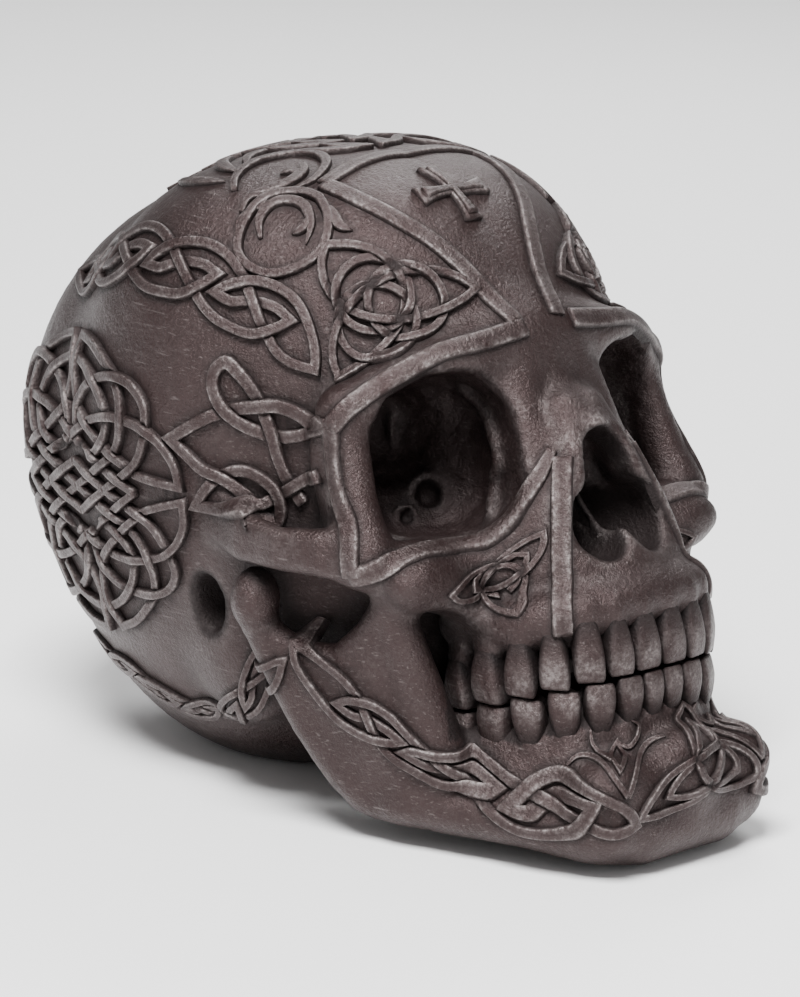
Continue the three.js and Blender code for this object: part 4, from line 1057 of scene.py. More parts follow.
def three_points(tips, pass_by):
    """Three arcs between the tips. Each bends past the middle, by a part of the way to the third tip."""
    tips = np.array(tips, float)
    rise = 0.5 + pass_by
    radius = (0.75 + rise * rise) / (2 * rise)
    half_turn = math.asin(min(1, math.sqrt(0.75) / radius))
    arcs = []
    for angle in [turn * DEGREE for turn in TIP_TURNS]:
        arc = []
        for turn in np.linspace(angle + half_turn, angle - half_turn, ARC_POINTS):
            x = (pass_by - radius) * math.cos(angle) + radius * math.cos(turn)
            y = (pass_by - radius) * math.sin(angle) + radius * math.sin(turn)
            toward = [x * math.cos(a * DEGREE) + y * math.sin(a * DEGREE) for a in TIP_TURNS]
            arc.append(np.array([(1 + 2 * part) / 3 for part in toward]) @ tips)
        arcs.append(arc)
    return [arcs]


def shrunk(tips, size):
    middle = np.mean(tips, 0)
    return middle + size * (np.array(tips) - middle)


FOREHEAD_TIPS = [(12.9, 11.8), (9.6, -14.0), (-16.3, 7.6)]
FOREHEAD_RINGS = [(2.7, -2.8, 7.6), (-2.7, 1.8, 7.5), (3.7, 2.7, 7.1)]
CHIN_TIPS = [(6.8, 14), (-15.4, -6.2), (17, -4.5)]
CHEEK_TIPS = [(9.9, -3.3), (-1, -6.5), (-7.2, 6.7)]
CHIN_INNER, CHEEK_INNER = 0.62, 0.6
CHIN_INSIDE = (0, -50, 18)
forehead_knot = three_points(FOREHEAD_TIPS, 0.23) + [[round_line(*ring)] for ring in FOREHEAD_RINGS]
count = lay_knot(Patch((0, 0, 75), (28.2, -24.7, 102.8)), forehead_knot, 1.8)
chin_patch = Patch(CHIN_INSIDE, (0, -83.5, 18.9))
chin_knot = three_points(CHIN_TIPS, 0.2) + three_points(shrunk(CHIN_TIPS, CHIN_INNER), 0.3)
count += lay_knot(chin_patch, chin_knot, 1.4, 1, mirror=False)
cheek_knot = three_points(CHEEK_TIPS, 0.3) + three_points(shrunk(CHEEK_TIPS, CHEEK_INNER), 0.45)
count += lay_knot(Patch((5, -20, 50), (22.8, -50.9, 55.4)), cheek_knot, 1.05, 0.75)
print("crossings in the knots of three points:", count)

# %% [markdown]
# ## Braids
# The braids on the side and on the jaw are chains of leaf-shaped loops. A real carver draws one
# loop and repeats it, and so does this: one arch, one short way back, and two special ends. The
# guide bends the chain over the skull and makes it wider or narrower from loop to loop. An array
# modifier on a curve could repeat the loops, but not pass the strands over and under.

# %% One loop of a braid
ARCH = [
    (0, 0), (0.1, 0.15), (0.33, 0.32), (0.6, 0.41), (0.85, 0.41), (1.08, 0.34), (1.33, 0.2), (1.6, 0.01),
    (1.85, -0.14), (2.1, -0.23), (2.35, -0.23), (2.62, -0.17), (2.82, 0.02), (2.92, 0.18),
]
RETURN = [(0.92, 0.18), (0.7, 0.2), (0.42, 0.12), (0.22, 0), (0, 0)]
NEAR_END = [
    (0, 0), (0.12, 0.15), (0.35, 0.32), (0.64, 0.39), (0.9, 0.36), (1.15, 0.22), (1.33, 0.05), (1.42, -0.1),
]
FAR_END = [*ARCH[:8], (1.8, -0.1), (2, -0.18), (2.2, -0.18), (2.42, -0.1)]
TIP_SPAN, TIP_RISE = RETURN[0]
print("an arch spans", ARCH[-1][0], "loops, and its way back", TIP_SPAN)

# %% Braids
GUIDE_STEPS = 8


def braid(guide):
    """One strand through all units and back. The guide gives a place and a width for each unit, and
    one more at either end. The strand runs to a point, doubles back and goes on over the next unit."""
    line = smooth_line(guide, GUIDE_STEPS)
    units = len(guide) - 3

    def spot(place):
        t = (place[0] + 1) * GUIDE_STEPS
        i = int(min(max(t, 0), len(line) - 2))
        way = line[i + 1] - line[i]
        across = np.array([-way[1], way[0]]) / np.linalg.norm(way[:2])
        if across[1] < 0:
            across = -across
        here = line[i] + (t - i) * way
        return here[:2] + here[2] * (place[1] - TIP_RISE / 2) * across

    def shifted(arc, shift):
        return [(x + shift, y) for x, y in arc]

    def turned(arc):
        return [(units - 1 + TIP_SPAN - x, TIP_RISE - y) for x, y in arc[::-1]]

    halves = []
    for first in (0, 1):
        chain = [turned(shifted((NEAR_END, FAR_END)[first], units - 1 - first))]
        for unit_number in range(first, units, 2):
            chain.append(shifted(RETURN, unit_number))
            left = units - 1 - unit_number
            end = (NEAR_END, FAR_END)[left] if left < 2 else ARCH
            chain.append(shifted(end, unit_number))
        halves.append(chain)
    back = [arc[::-1] for arc in halves[1][::-1]]
    return [[[spot(p) for p in arc] for arc in halves[0] + back]]


SIDE_GUIDE = [
    (62, 6, 17), (44.5, 5, 17), (27, 3.2, 17.6), (9.4, 0.9, 17.6), (-8.7, -1.9, 17.6),
    (-26.2, -5.7, 18), (-43, -9.6, 18),
]
JAW_GUIDE = [
    (45, 16.5, 21), (21, 10, 17), (6.9, 2.8, 10), (-12.2, -2.2, 9.5), (-27.6, 1.6, 11), (-39, -1.5, 11),
]
count = lay_knot(side_patch, braid(SIDE_GUIDE), 2.2)
count += lay_knot(Patch((-40, 20, 60), (34.5, -47.2, 17.6)), braid(JAW_GUIDE), 1.9, 1.1)
print("crossings in the braids:", count)

# %% [markdown]
# ## The knot on the temple
# One loose strand wanders over the temple, behind the rim of the eye socket, and crosses itself.
# It has no rule, so it is given as four arcs. They are laid on the skin from inside the
# skull, because from outside the arch would be in the way.

# %% The knot on the temple
TEMPLE_ARCS = [
    [(-12.5, -0.8), (-9.1, -2.8), (-5.2, -5.6), (-0.9, -8.2), (1.6, -8.4), (6.1, -9.4), (12.4, -9.8)],
    [
        (12.4, -9.8), (9.5, -5.4), (6.3, -2.7), (2.6, -1.8), (-1.1, -3), (-4, -5.1), (-5.3, -8.2),
        (-4.6, -11), (-1.4, -10.1), (1.4, -7.5), (4.1, -5.3), (7.5, -3.4), (11.1, -2.2), (14.4, 0.2),
        (18.2, 3),
    ],
    [(18.2, 3), (11.1, 6.9), (5.2, 9.3), (0.9, 10.1), (-3.6, 10.6), (-8.1, 9.3), (-12.1, 6.7)],
    [
        (-12.1, 6.7), (-8.7, 5.8), (-4.5, 5.2), (-0.2, 5.9), (3.7, 7.3), (6.8, 9.5), (8.7, 12.7),
        (8.4, 15.8), (6.3, 17.3), (3.8, 15.6), (0.9, 12.8), (-1.4, 8.9), (-3.1, 5.2), (-4.4, 1.2),
        (-6.8, -3.3), (-9.7, -6.8),
    ],
]
count = lay_knot(Patch(SKULL_HEART, (45.2, -6.5, 71.7), True), [TEMPLE_ARCS], 2.5)
print("crossings in the knot on the temple:", count)

# %% [markdown]
# ## Scrolls and leaves
# Above the braid the casting has a ring with curling strokes and leaves round it, and beside the
# knot on the chin a small flower. A stroke differs from a strand: it swells and runs out thin.
# Each one has its width, how thin its two ends get, and a line of a few points, which is as much
# as the photo tells about it.

# %% Strokes that run out thin
def lay_strokes(patch, strokes, height=STAND_OUT):
    """Each stroke has its width, the taper of both ends and its line."""
    for width, ends, line in strokes:
        sweep(patch, evenly(line), width, height=height, ends=ends)


SCROLL_RING = [
    (-5.4, 7.4), (-8, 3.2), (-8.9, -2.2), (-7.6, -6), (-3.7, -8.9), (0.9, -10), (5.4, -8.5), (8, -5.7),
    (8.6, -2), (7.9, 1.9), (6.8, 5.3), (4.6, 7.9), (1.6, 9), (-2.2, 9), (-5.4, 7.4),
]
INNER_CURL = [
    (4.1, -2.6), (5.2, 1.1), (4.5, 4.4), (2.4, 6.5), (-0.9, 6.5), (-3.5, 4.6), (-5.3, 0.6), (-5.2, -3.6),
]
UPPER_SCROLL = [
    (12.5, 9.9), (13.6, 14.1), (12.7, 20.4), (9.9, 25.2), (5.4, 28.4), (0.4, 27), (-3, 22),
    (-3.4, 15.8), (-1.6, 12.1), (1.8, 9.9),
]
SCROLLS = [
    (2.4, (0.35, 0.12), INNER_CURL),
    (1.7, (0.6, 0.1), [(-4.5, 2.2), (-3.9, -0.4), (-1.9, -1.5)]),
    (1.7, (0.7, 0.5), [(9.3, 3.6), (9, 6.7), (7.4, 8), (5.6, 7), (5.8, 4.8), (7.3, 4.4)]),
    (2, (0.3, 0.1), [(6.9, 4.4), (8.6, 1.9), (9.6, -1.2)]),
    (2.4, (0.25, 0.1), [(-6.2, 6), (-8.9, 3.4), (-10.9, 0.9), (-13.4, 0.4)]),
    (2.4, (0.6, 0.2), UPPER_SCROLL),
    (2.6, (0.4, 0.15), [(8.5, 8.6), (4.6, 10.4), (1.6, 13), (0.4, 17), (1.8, 21.5)]),
    (1.9, (0.5, 0.1), [(0.6, 15.3), (2.6, 16.6), (4.9, 16)]),
    (3.2, (0.12, 0.12), [(14.2, 17), (18.6, 21), (21, 26.4), (21.4, 33)]),
    (2.6, (0.12, 0.12), [(13.4, 20.4), (15, 25.6), (14.4, 31), (11.6, 35.6)]),
    (2.2, (0.12, 0.12), [(15.6, 13.4), (20.8, 14.6), (26, 17.6), (30.6, 22.4)]),
]
scroll_patch = Patch(SKULL_HEART, (33.9, -0.5, 115.1))
lay_knot(scroll_patch, [[SCROLL_RING]], 2)
lay_strokes(scroll_patch, SCROLLS, 1.1)
print("strokes round the ring:", len(SCROLLS))

# %% The flower beside the chin knot
FLEUR = [
    (1.1, (1, 0.4), [(2, -2.5), (3.9, 0.2), (6.2, 3.1), (10.2, 3.6), (12.6, 1.2)]),
    (1.1, (1, 0.4), [(2, -2.5), (-0.6, 1.2), (-3.5, 3.7), (-7.4, 5.9), (-10.4, 6.6)]),
    (1, (1, 0.3), [(3.7, 3.2), (5.8, 4.4), (6.9, 6.4), (7, 9.6)]),
    (1, (1, 0.3), [(1.1, 6.2), (-1.2, 4.9), (-3.9, 6.9), (-4.9, 9.8), (-3, 11)]),
]
EYE_CORNERS = [(1.1, 6.2), (3.7, 3.2), (2.9, 1.4), (0.4, 3.4), (1.1, 6.2)]
FLEUR_RISE = 0.7
fleur_patch = Patch(CHIN_INSIDE, (15, -78.5, 20))
lay_strokes(fleur_patch, FLEUR, FLEUR_RISE)
lay_knot(fleur_patch, [list(zip(EYE_CORNERS, EYE_CORNERS[1:]))], 0.9, FLEUR_RISE)
print("strokes in the flower:", len(FLEUR))

# %% [markdown]
# ## The chain low at the back
# A small chain like the braid on the side runs from the jaw joint toward the back. It needs only a
# guide of its own, with narrower loops. It is too fine for the solid, which has few faces.

# %% The chain low at the back
LOW_GUIDE = [
    (30, 3, 7), (18, 3.4, 7), (6.4, 2.6, 7), (-5, -3, 7), (-17, -3.6, 8), (-29, 1.8, 9), (-41, 10, 9),
    (-52, 18, 9),
]
count = lay_knot(Patch((0, 20, 60), (37.2, 28.6, 16.4)), braid(LOW_GUIDE), 1.5, 1)
print("crossings in the low chain:", count)

# %% [markdown]
# ## The round knot
# The big knot behind the ear has four pointed leaves round a woven middle. All four quarters are
# alike, so only one is drawn: a band from the middle to a tip and back, a leaf, a loop and a short
# cross. Mirroring it both ways closes the knot, as a folded paper pattern does when it is opened.

# %% One quarter of the round knot
ROUNDEL_TURN = 8 * DEGREE
ROUNDEL_LEAF = [
    (3.4, 28.6), (9.8, 27.4), (15.7, 24.6), (19.6, 21.6), (21.4, 17.4), (21, 12.6), (18.4, 8.4), (12.6, 5.2),
    (0, 0),
]
ROUNDEL_BAND = [
    [
        (0, 10), (5, 12.2), (10.9, 14), (17.6, 14.8), (23, 14.3), (27.5, 13.2), (32, 10.4), (35, 6.2),
        (35.6, 1.6),
    ],
    [
        (35.6, 1.6), (25.2, 3.6), (20, 6), (14.1, 9), (8.8, 11.9), (3.7, 15.6), (0.9, 21), (1.4, 24.8),
        (3.4, 28.6),
    ],
    ROUNDEL_LEAF,
]
ROUNDEL_LOOP = [[
    (12, 0), (21.4, 4.2), (25.4, 7), (27.4, 10.4), (28.4, 14), (28.1, 17.7), (24.6, 21), (19.5, 22.2),
    (12.7, 21.4), (6.4, 19), (2.4, 14.6), (2.6, 9.6), (6.6, 7), (11.4, 8), (15, 11), (16.1, 14.8),
    (13, 19.7), (7.8, 23), (0, 25),
]]
ROUNDEL_START = [[(0, 5), (6, 2.5), (12, 0)]]
ROUNDEL_CROSS = [[(0, 10), (12, 5), (22.6, 0)]]
QUARTER = [ROUNDEL_BAND, ROUNDEL_LOOP, ROUNDEL_START, ROUNDEL_CROSS]
print("arcs in a quarter:", sum(len(arcs) for arcs in QUARTER))

# %% The round knot
def quarter_turned(strands, sign_x, sign_y):
    c, s = math.cos(ROUNDEL_TURN), math.sin(ROUNDEL_TURN)

    def turned(x, y):
        return -(c * sign_x * x - s * sign_y * y), s * sign_x * x + c * sign_y * y

    return [[[turned(x, y) for x, y in arc] for arc in arcs] for arcs in strands]


roundel = []
for signs in ((1, 1), (-1, 1), (1, -1), (-1, -1)):
    roundel += quarter_turned(QUARTER, *signs)
count = lay_knot(Patch(SKULL_HEART, (46.7, 42.7, 57.8)), roundel, 1.9, 1.35)
print("crossings in the round knot:", count)

# %% [markdown]
# ## Straps, panel and cross
# Flat straps edge the brow, the cheek and the nose of the casting, and two of them close a long
# panel on the forehead that points at the nose. A cross with flared arms stands in the panel. Seen
# from a point inside, a strap beside the nose would fall over the edge. So a strap doesn't lie on
# a patch: its points are pulled onto the nearest skin, and its direction is evened out, so that it
# bends round an edge as a metal band would.

# %% Straps
STRAP_DROP, STRAP_ROOT = 1.2, 1.6


def onto_skin(points, most=9.0, steps=6):
    for _ in range(steps):
        points = points - np.clip(sample(points), -most, most)[:, None] * unit(slope(points, 1))
    return points


def lay_strap(line, width, height=0.9, ends=(1, 1), both=True):
    """A strap follows its line on the skin and bends over an edge instead of falling down beside it."""
    line = onto_skin(evenly(line))
    normal = unit(slope(line, 1.8))
    for _ in range(6):
        line = np.concatenate([line[:1], (line[:-2] + 2 * line[1:-1] + line[2:]) / 4, line[-1:]])
        normal = unit(np.concatenate([normal[:1], normal[:-2] + normal[1:-1] + normal[2:], normal[-1:]]))
    run = unit(np.gradient(line, axis=0))
    side = unit(np.cross(normal, run))
    n = len(line)
    half = width / 2 * tapered(n, ends)
    place = line[:, None] + side[:, None] * (half[:, None] * PROFILE_ACROSS)[..., None]
    drop = np.clip(sample(place.reshape(-1, 3)), -STRAP_DROP, STRAP_DROP).reshape(n, PROFILE)
    skin = place - normal[:, None] * drop[..., None]
    lift = height * PROFILE_RISE + STRAP_ROOT * PROFILE_ROOT
    points = (skin + normal[:, None] * lift[..., None]).reshape(-1, 3)
    # The same painted shade along the foot of a strap.
    high, deep = np.tile(PROFILE_HIGH, (n, 1)), np.tile(PROFILE_SHADE, (n, 1))
    keep_band(points, skin, normal, high, deep, False, both)


print("a point off the forehead comes to", onto_skin(np.array([[0, -40.0, 110.0]]))[0].round(1), "mm")

# %% The panel on the forehead
PANEL_SHIFT = -2.5
PANEL_SIDE = [
    (20.2, 0.3, 122.1), (19, -9.5, 120), (16, -17.1, 116.9), (12.2, -23, 113), (8.8, -28.8, 107.6),
    (6.6, -33.7, 102.7), (5.4, -37.8, 99.4),
]
PANEL_TOP = [(20.2, 0.3, 122.1), (10, 1, 125), (0, 1.5, 125.5), (-10, 1, 125), (-20.2, 0.3, 122.1)]
for sign in (1, -1):
    lay_strap([(sign * x + PANEL_SHIFT, y, z) for x, y, z in PANEL_SIDE], 3.8, both=False)
lay_strap([(x + PANEL_SHIFT, y, z) for x, y, z in PANEL_TOP], 3.6, both=False)
print("strands and straps so far:", len(strand_points))

# %% Straps round the eye socket and beside the nose
BROW_STRAP = [
    (45.2, -26.3, 82.3), (43.2, -28.5, 86.2), (38.6, -30.4, 89.4), (33.2, -33.1, 92.8), (25.9, -35.6, 95.9),
    (17.4, -37.8, 97.2), (6.5, -38.6, 98.5),
]
TEMPLE_STRAP = [
    (45.2, -26.1, 84), (45.3, -26.9, 76.1), (46.2, -30.2, 69.2), (47.6, -34.3, 64.4), (48.9, -36.6, 56),
]
ORBIT_STRAP = [
    (48.9, -36.2, 55.7), (47.6, -38.8, 56.6), (41.5, -42, 59.1), (34.4, -42.8, 60.2), (25.8, -43, 60),
    (22.3, -46.7, 61.5), (18, -49.2, 66.6), (13.7, -50.8, 72.7), (10.1, -50.6, 77.2),
]
NOSE_STRAP = [
    (9.5, -52.9, 76.2), (11.1, -54.4, 72.2), (14, -57.3, 65.5), (16.1, -59.6, 58.5), (19.3, -63.1, 51.9),
    (20.2, -64.3, 45.7),
]
lay_strap(BROW_STRAP, 4.2)
lay_strap(TEMPLE_STRAP, 4)
lay_strap(ORBIT_STRAP, 4.4, ends=(1, 0.5))
lay_strap(NOSE_STRAP, 4.2)
print("and with the straps of the face:", len(strand_points))

# %% The cross
CROSS_MIDDLE = np.array([-3.2, -14.8, 120.6])
CROSS_ARM, CROSS_POST = 8.6, 7.9
CROSS_LAYERS = ((2.6, 5, 1.1, 1), (1.3, 3, 1.7, 0.86))
for waist, end, rise, part in CROSS_LAYERS:
    for way, reach in (((1, 0, 0), CROSS_ARM), ((0, 0.87, 0.49), CROSS_POST)):
        arm = [tuple(CROSS_MIDDLE + k * part * reach * np.array(way)) for k in (-1, -0.5, 0, 0.5, 1)]
        lay_strap(arm, waist, rise, (end / waist, end / waist), both=False)
print("layers of the cross:", len(CROSS_LAYERS))

# %% [markdown]
# ## Leaves along the crown
# On top of the head the photo shows only a ragged edge of low relief, seen from the side. Rows of
# leaves in pairs give that edge, and are the plainest thing that would. They are made in a loop,
# from the forehead panel toward the back.

# %% Leaves along the crown
CROWN_START, CROWN_STEP, CROWN_PAIRS, CROWN_HIGH = 9, 8.2, 7, 125
LEAF_SHAPES = ((3.4, 7), (2.8, 14))
LEAF_STEM, LEAF_BEND, LEAF_LONG = 1.2, 2.5, 9
for number in range(CROWN_PAIRS):
    y = CROWN_START + CROWN_STEP * number
    for width, spread in LEAF_SHAPES:
        leaf = [
            (LEAF_STEM, y, CROWN_HIGH), (0.55 * spread, y + LEAF_BEND, CROWN_HIGH),
            (spread, y + LEAF_LONG, CROWN_HIGH),
        ]
        lay_strap(leaf, width, 1.15, (0.35, 0.12))
print("leaves along the crown:", 2 * CROWN_PAIRS * len(LEAF_SHAPES))

# %% [markdown]
# ## One piece of knotwork
# All strands were cast with the skull, so they are one piece with one finish. Their surfaces may
# pass through each other where they cross, as the lower one is hidden there. A boolean union would
# take minutes and change nothing that shows.

# %% All strands become one piece
knot_marks = {"high": np.concatenate(strand_high), "deep": np.concatenate(strand_deep)}
knotwork = make_piece("knotwork", np.concatenate(strand_points), strand_faces, knot_marks)
print("knotwork triangles:", sum(len(f) - 2 for f in strand_faces))

# %% [markdown]
# ## Wear and painted shade
# The finish tells the relief: edges and bumps are rubbed bright, and hollows are painted dark as
# shade. Dirty vertex colours or a pointiness node would find the hollows too, but only as fine as
# the faces are. Here both are measured on the form itself. Just outside the skin, a point in a
# hollow is nearer to iron than its height over the skin, and just inside a ridge, a point is
# nearer to the air than its depth. Painted shade also lies along the foot of every strand,
# between the teeth, in the nose, the eye sockets and the ears, and under the round knot.

# %% Hollows and ridges of the bone
MARK_REACH, WIDE_REACH = 2.4, 8
bone_points = points_of(bone)
bone_ways = unit(slope(bone_points, 0.9))


def nearness(reach):
    """From 0 in the open to 1 deep in a hollow, or on a ridge where the reach is inward."""
    return np.clip(1 - sample(bone_points + reach * bone_ways) / reach, 0, 1)


# The two hollow marks become painted shade; the ridge mark is the real wear of the edges.
hollow, wide_hollow, ridge = nearness(MARK_REACH), nearness(WIDE_REACH), nearness(-MARK_REACH)
print("mean hollow and ridge:", round(float(hollow.mean()), 3), round(float(ridge.mean()), 3))

# %% Painted shade along the strands and between the teeth
FOOT_WIDTH, FOOT_SHADE, WIDE_SHADE, BEHIND_TOOTH = 0.7, 0.8, 0.7, 0.9
feet = np.concatenate(foot_points)
tree = kdtree.KDTree(len(feet))
for number, foot in enumerate(feet):
    tree.insert(foot, number)
tree.balance()
foot_gap = np.array([tree.find(p)[2] for p in bone_points])
foot_shade = FOOT_SHADE * np.exp(-((foot_gap / FOOT_WIDTH) ** 2))
# The bone's painted shade: dark in small hollows, softer over large ones, and a thin dark line along the
# foot of every strand.
deep = np.clip(hollow + WIDE_SHADE * wide_hollow + foot_shade, 0, 1)
away = (np.abs(bone_points[:, 0]), bone_points[:, 1], bone_points[:, 2])
# Behind and between the teeth the bone is painted fully dark, as shade.
for row in (UPPER_ROW, LOWER_ROW):
    for p in tooth_places(row):
        gap = np.hypot(away[0] - p["x"], away[1] - p["y"])
        over_bite = np.abs(away[2] - p["bite"])
        deep = np.where((gap < p["width"]) & (over_bite < p["height"] * BEHIND_TOOTH), 1, deep)
print("share of the bone that is dark:", round(float((deep > 0.5).mean()), 2))

# %% Painted shade in the openings
NOSE_EDGE, SOCKET_EDGE, EAR_EDGE, ROUND_EDGE = 0.8, 0.8, 1.5, 3
SOCKET_SHADE, EAR_SHADE, ROUND_SHADE = 0.4, 0.9, 0.25
ROUND_MIDDLE, ROUND_RADIUS, ROUND_SIDE = [0, 41, 58], 33, 25
ear_dark = ellipsoid((44, 6, 41), (8, 4.4, 7))
# Painted shade in the nose, the eye sockets and the ear holes, and on the ground between the strands of the
# round knot, which is darkened instead of sunk.
deep = np.maximum(deep, np.clip(1 - nose_opening.distance(*away) / NOSE_EDGE, 0, 1))
in_socket = np.clip(1.2 - socket.distance(*away) / SOCKET_EDGE, 0, 1)
in_ear = np.clip(1 - ear_dark.distance(*away) / EAR_EDGE, 0, 1)
from_middle = np.linalg.norm(bone_points * [0, 1, 1] - ROUND_MIDDLE, axis=1)
round_ground = np.clip((ROUND_RADIUS - from_middle) / ROUND_EDGE, 0, 1) * (away[0] > ROUND_SIDE)
deep = np.clip(deep + SOCKET_SHADE * in_socket + EAR_SHADE * in_ear + ROUND_SHADE * round_ground, 0, 1)
print("and with the openings:", round(float((deep > 0.5).mean()), 2))

# %% [markdown]
# ## A cast skin
# Sand casting leaves a skin that is never quite even, and the eye sockets, which nobody polishes,
# are rougher. A displace modifier could do it, but it would also lift the flat underside off the
# floor. So the points are moved along the slope by two sizes of smooth noise, all but those at the
# very bottom.

# %% A cast skin
CAST_ROUGHNESS, SOCKET_ROUGHNESS = 0.09, 0.3
FINE_BUMPS, WIDE_BUMPS, WIDE_PART = 2.1, 4.7, 0.7
UNDERSIDE = 0.3


def bumps(points, size):
    return np.array([noise.noise(Vector(p)) for p in points / size])


both_bumps = bumps(bone_points, FINE_BUMPS) + WIDE_PART * bumps(bone_points, WIDE_BUMPS)
uneven = (CAST_ROUGHNESS + SOCKET_ROUGHNESS * in_socket) * both_bumps
lifted = (bone_points + uneven[:, None] * bone_ways - [0, MIDDLE_Y, 0]) * MM
lifted[:, 2] = np.where(bone_points[:, 2] < UNDERSIDE, bone_points[:, 2] * MM, lifted[:, 2])
bone.data.vertices.foreach_set("co", lifted.astype(np.float32).ravel())
bone.data.update()
for mark, values in {"deep": deep, "high": ridge}.items():
    bone.data.attributes.new(mark, "FLOAT", "POINT").data.foreach_set("value", values.astype(np.float32))
print("highest bump, mm:", round(float(np.abs(uneven).max()), 2))

# %% [markdown]
# ## The patina
# The real finish is dark reddish-brown iron, silver-grey where hands and a dry brush have caught
# it, with fine specks and scratches; its hollows are painted nearly black, as shade. Painting it by
# hand would need an unwrapped skin and an image. Noise at five sizes and the two marks at the
# points give it without either, at the same scale on every piece. One material dresses all three
# pieces, because they were cast as one.

# %% Helpers for shader nodes
iron_patina = bpy.data.materials.new("iron_patina")
iron_patina.use_nodes = True
nodes, links = iron_patina.node_tree.nodes, iron_patina.node_tree.links
shader = nodes["Principled BSDF"]


def node(kind, **settings):
    made = nodes.new(kind)
    for key, value in settings.items():
        setattr(made, key, value)
    return made


def feed(inlet, value):
    """Gives an input a value of its own, or a link from another node."""
    if isinstance(value, (int, float, tuple)):
        inlet.default_value = value
    else:
        links.new(value, inlet)


def calculate(operation, a, b, clamp=False):
    made = node("ShaderNodeMath", operation=operation, use_clamp=clamp)
    feed(made.inputs[0], a)
    feed(made.inputs[1], b)
    return made.outputs[0]


def times(a, b, clamp=True):
    """A product, kept between 0 and 1 unless told otherwise."""
    return calculate("MULTIPLY", a, b, clamp)


def plus(a, b, clamp=False):
    return calculate("ADD", a, b, clamp)


def above(value, start, gain):
    """Nothing below the start, then quickly up to 1."""
    return times(calculate("SUBTRACT", value, start, True), gain)


def mix(amount, a, b):
    made = node("ShaderNodeMix", data_type="RGBA")
    feed(made.inputs["Factor"], amount)
    feed(made.inputs["A"], a)
    feed(made.inputs["B"], b)
    return made.outputs["Result"]


print("nodes before the patina:", len(nodes))

# %% Noise at five sizes
coordinates = node("ShaderNodeTexCoord")


def noise_of(scale, detail, roughness, stretch=None):
    texture, mapping = node("ShaderNodeTexNoise"), node("ShaderNodeMapping")
    texture.inputs["Scale"].default_value = scale
    texture.inputs["Detail"].default_value = detail
    texture.inputs["Roughness"].default_value = roughness
    if stretch:
        mapping.inputs["Rotation"].default_value, mapping.inputs["Scale"].default_value = stretch
    links.new(coordinates.outputs["Object"], mapping.inputs["Vector"])
    links.new(mapping.outputs["Vector"], texture.inputs["Vector"])
    return texture.outputs["Fac"]


high_mark = node("ShaderNodeAttribute", attribute_name="high").outputs["Fac"]
deep_mark = node("ShaderNodeAttribute", attribute_name="deep").outputs["Fac"]
cloud = noise_of(60, 5, 0.65)
blotch = noise_of(170, 4, 0.7)
speck = noise_of(1100, 3, 0.75)
pit = noise_of(1300, 4, 0.7)
SCRATCH_TURNS, SCRATCH_STRETCH = ((0.3, 0.5, 0.9), (1.1, 0.2, 2.3)), (1, 0.05, 1)
scratches = [noise_of(1900, 2, 0.5, (turn, SCRATCH_STRETCH)) for turn in SCRATCH_TURNS]
print("nodes with the noise:", len(nodes))

# %% The colours of the patina
DARK_IRON, BROWN_IRON = (0.020, 0.0105, 0.0102, 1), (0.044, 0.026, 0.0252, 1)
# The near-black colour on the next line is painted shade for hollows, gaps and the foot of every strand; the
# pale one is real wear.
WORN_IRON, PAINTED_SHADE = (0.29, 0.255, 0.248, 1), (0.009, 0.0055, 0.0055, 1)
SCRATCH_SHARE, DUST_SHARE, SHADE_SHARE = 0.34, 0.07, 0.85
tone = mix(cloud, DARK_IRON, BROWN_IRON)
patchy, specks = above(blotch, 0.36, 3.2), above(speck, 0.42, 4.5)
rubbed = times(high_mark, times(patchy, plus(specks, 0.3)))
fine = above(calculate("MAXIMUM", *scratches), 0.62, 5)
dusty = times(times(specks, patchy), DUST_SHARE)
worn = calculate("MAXIMUM", rubbed, calculate("MAXIMUM", times(fine, SCRATCH_SHARE, False), dusty), True)
tone = mix(worn, tone, WORN_IRON)
# Painted shade: where the deep mark is high, the colour goes toward the near-black shade colour.
tone = mix(times(deep_mark, SHADE_SHARE), tone, PAINTED_SHADE)
links.new(tone, shader.inputs["Base Color"])
print("nodes with the colours:", len(nodes))

# %% Gloss and fine relief
shader.inputs["Metallic"].default_value = 0.6
LEAST_ROUGH, PIT_ROUGH, HOLLOW_ROUGH = 0.2, 0.32, 0.25
rough = plus(times(pit, PIT_ROUGH, False), LEAST_ROUGH)
rough = plus(rough, times(deep_mark, HOLLOW_ROUGH, False), True)
links.new(rough, shader.inputs["Roughness"])
bump = node("ShaderNodeBump")
bump.inputs["Strength"].default_value = 0.6
bump.inputs["Distance"].default_value = 0.0006
relief = plus(times(speck, 0.5, False), plus(pit, times(blotch, 0.6, False)))
links.new(relief, bump.inputs["Height"])
links.new(bump.outputs["Normal"], shader.inputs["Normal"])
pieces = (bone, teeth, knotwork)
for piece in pieces:
    piece.data.materials.clear()
    piece.data.materials.append(iron_patina)
print("patina on", len(pieces), "pieces")

# %% [markdown]
# ## The camera
# The photo was taken from the skull's own right, halfway round from the face to the ear, a little
# above it and slightly rolled. A camera could be pushed about by hand until the picture fits. Three
# angles and a distance say the same in a way that can be checked, and the lens follows from how
# large the skull is in the picture.

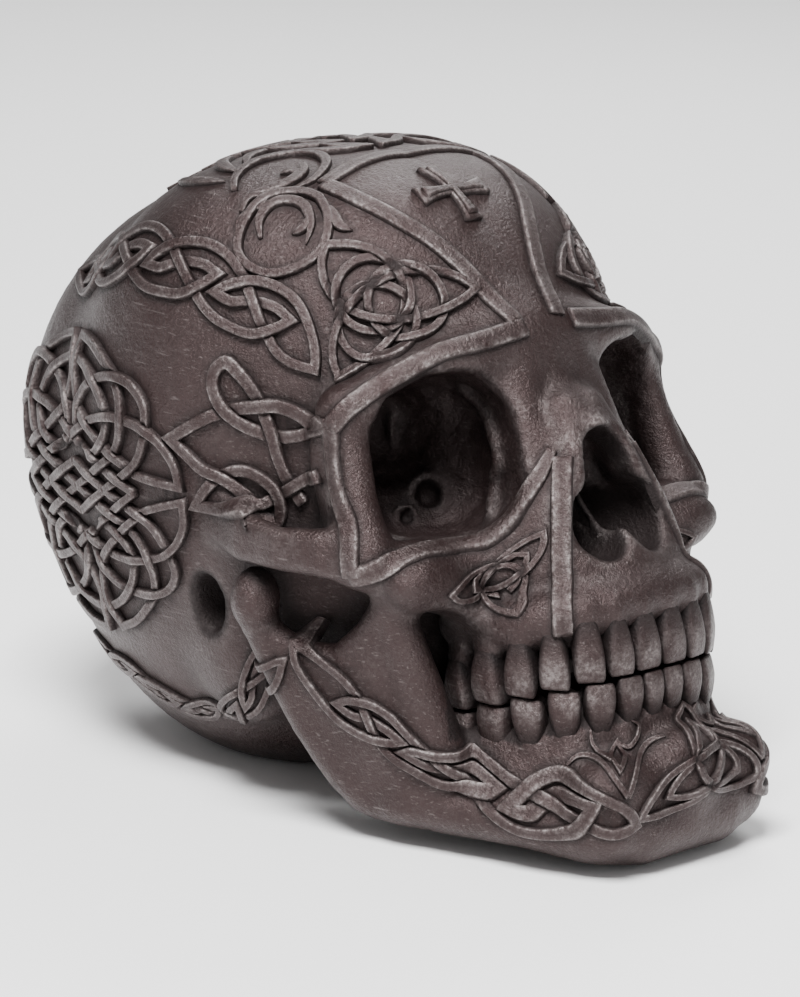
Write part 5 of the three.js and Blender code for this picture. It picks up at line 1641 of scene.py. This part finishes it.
# %% The camera
VIEW_AZIMUTH, VIEW_FALL, VIEW_ROLL = 45 * DEGREE, 14.5 * DEGREE, 1.5 * DEGREE
VIEW_DISTANCE = 0.96
AIM = Vector((0, -MIDDLE_Y * MM, 0.0558))
PIXELS_PER_METRE, LONG_SIDE, SENSOR = 5000, 997, 36
forward = math.cos(VIEW_FALL)
ahead = Vector((
    math.sin(VIEW_AZIMUTH) * forward, math.cos(VIEW_AZIMUTH) * forward, -math.sin(VIEW_FALL)))
level = Vector((math.cos(VIEW_AZIMUTH), -math.sin(VIEW_AZIMUTH), 0))
upright = level.cross(ahead)
right = math.cos(VIEW_ROLL) * level + math.sin(VIEW_ROLL) * upright
over_head = -math.sin(VIEW_ROLL) * level + math.cos(VIEW_ROLL) * upright
camera_data = bpy.data.cameras.new("camera")
camera_data.sensor_width = SENSOR
camera_data.lens = SENSOR * PIXELS_PER_METRE * VIEW_DISTANCE / LONG_SIDE
camera = bpy.data.objects.new("camera", camera_data)
bpy.context.scene.collection.objects.link(camera)
turned_view = Matrix((right, over_head, -ahead)).transposed().to_4x4()
camera.matrix_world = Matrix.Translation(AIM - VIEW_DISTANCE * ahead) @ turned_view
bpy.context.scene.camera = camera
print("lens, mm:", round(camera_data.lens, 1))

# %% [markdown]
# ## The light
# In the photo one large soft light stands high on the left, and everything round the skull is
# white. A picture of a studio could light it, but plain area lights show better what each one
# does: the key from the upper left, a weak rim from behind, a weaker fill in front, and an even
# white world for the rest.

# %% The light
def area_light(name, place, size, power):
    data = bpy.data.lights.new(name, "AREA")
    data.size, data.energy = size, power
    lamp = bpy.data.objects.new(name, data)
    lamp.location = place
    lamp.rotation_euler = (AIM - Vector(place)).to_track_quat("-Z", "Y").to_euler()
    bpy.context.scene.collection.objects.link(lamp)
    return lamp


lamps = [
    area_light("key", (-0.5, -0.3, 1.15), 0.5, 42),
    area_light("rim", (0.7, 0.5, 0.8), 0.5, 8),
    area_light("fill", (-0.3, -1.1, 0.4), 0.8, 1.5),
]
world = bpy.data.worlds.new("studio")
bpy.context.scene.world = world
world.use_nodes = True
world.node_tree.nodes["Background"].inputs["Color"].default_value = (1, 1, 1, 1)
world.node_tree.nodes["Background"].inputs["Strength"].default_value = 0.38
print("power of the lamps, W:", sum(lamp.data.energy for lamp in lamps))

# %% [markdown]
# ## The floor
# The skull stands on a plain pale ground that runs on past the picture. A studio sweep would hide
# the horizon, but the camera looks down far enough that a large flat floor fills the whole view.
# It is staging and no part of the skull.

# %% The floor
FLOOR_HALF = 4
floor_mesh = bpy.data.meshes.new("floor")
floor_corners = [(FLOOR_HALF * x, FLOOR_HALF * y, 0) for x, y in ((-1, -1), (1, -1), (1, 1), (-1, 1))]
floor_mesh.from_pydata(floor_corners, [], [(0, 1, 2, 3)])
floor = bpy.data.objects.new("floor", floor_mesh)
bpy.context.scene.collection.objects.link(floor)
floor_paint = bpy.data.materials.new("pale_floor")
floor_paint.use_nodes = True
floor_shader = floor_paint.node_tree.nodes["Principled BSDF"]
floor_shader.inputs["Base Color"].default_value = (0.97, 0.97, 0.97, 1)
floor_shader.inputs["Roughness"].default_value = 0.8
floor.data.materials.append(floor_paint)
print("floor, m across:", 2 * FLOOR_HALF)
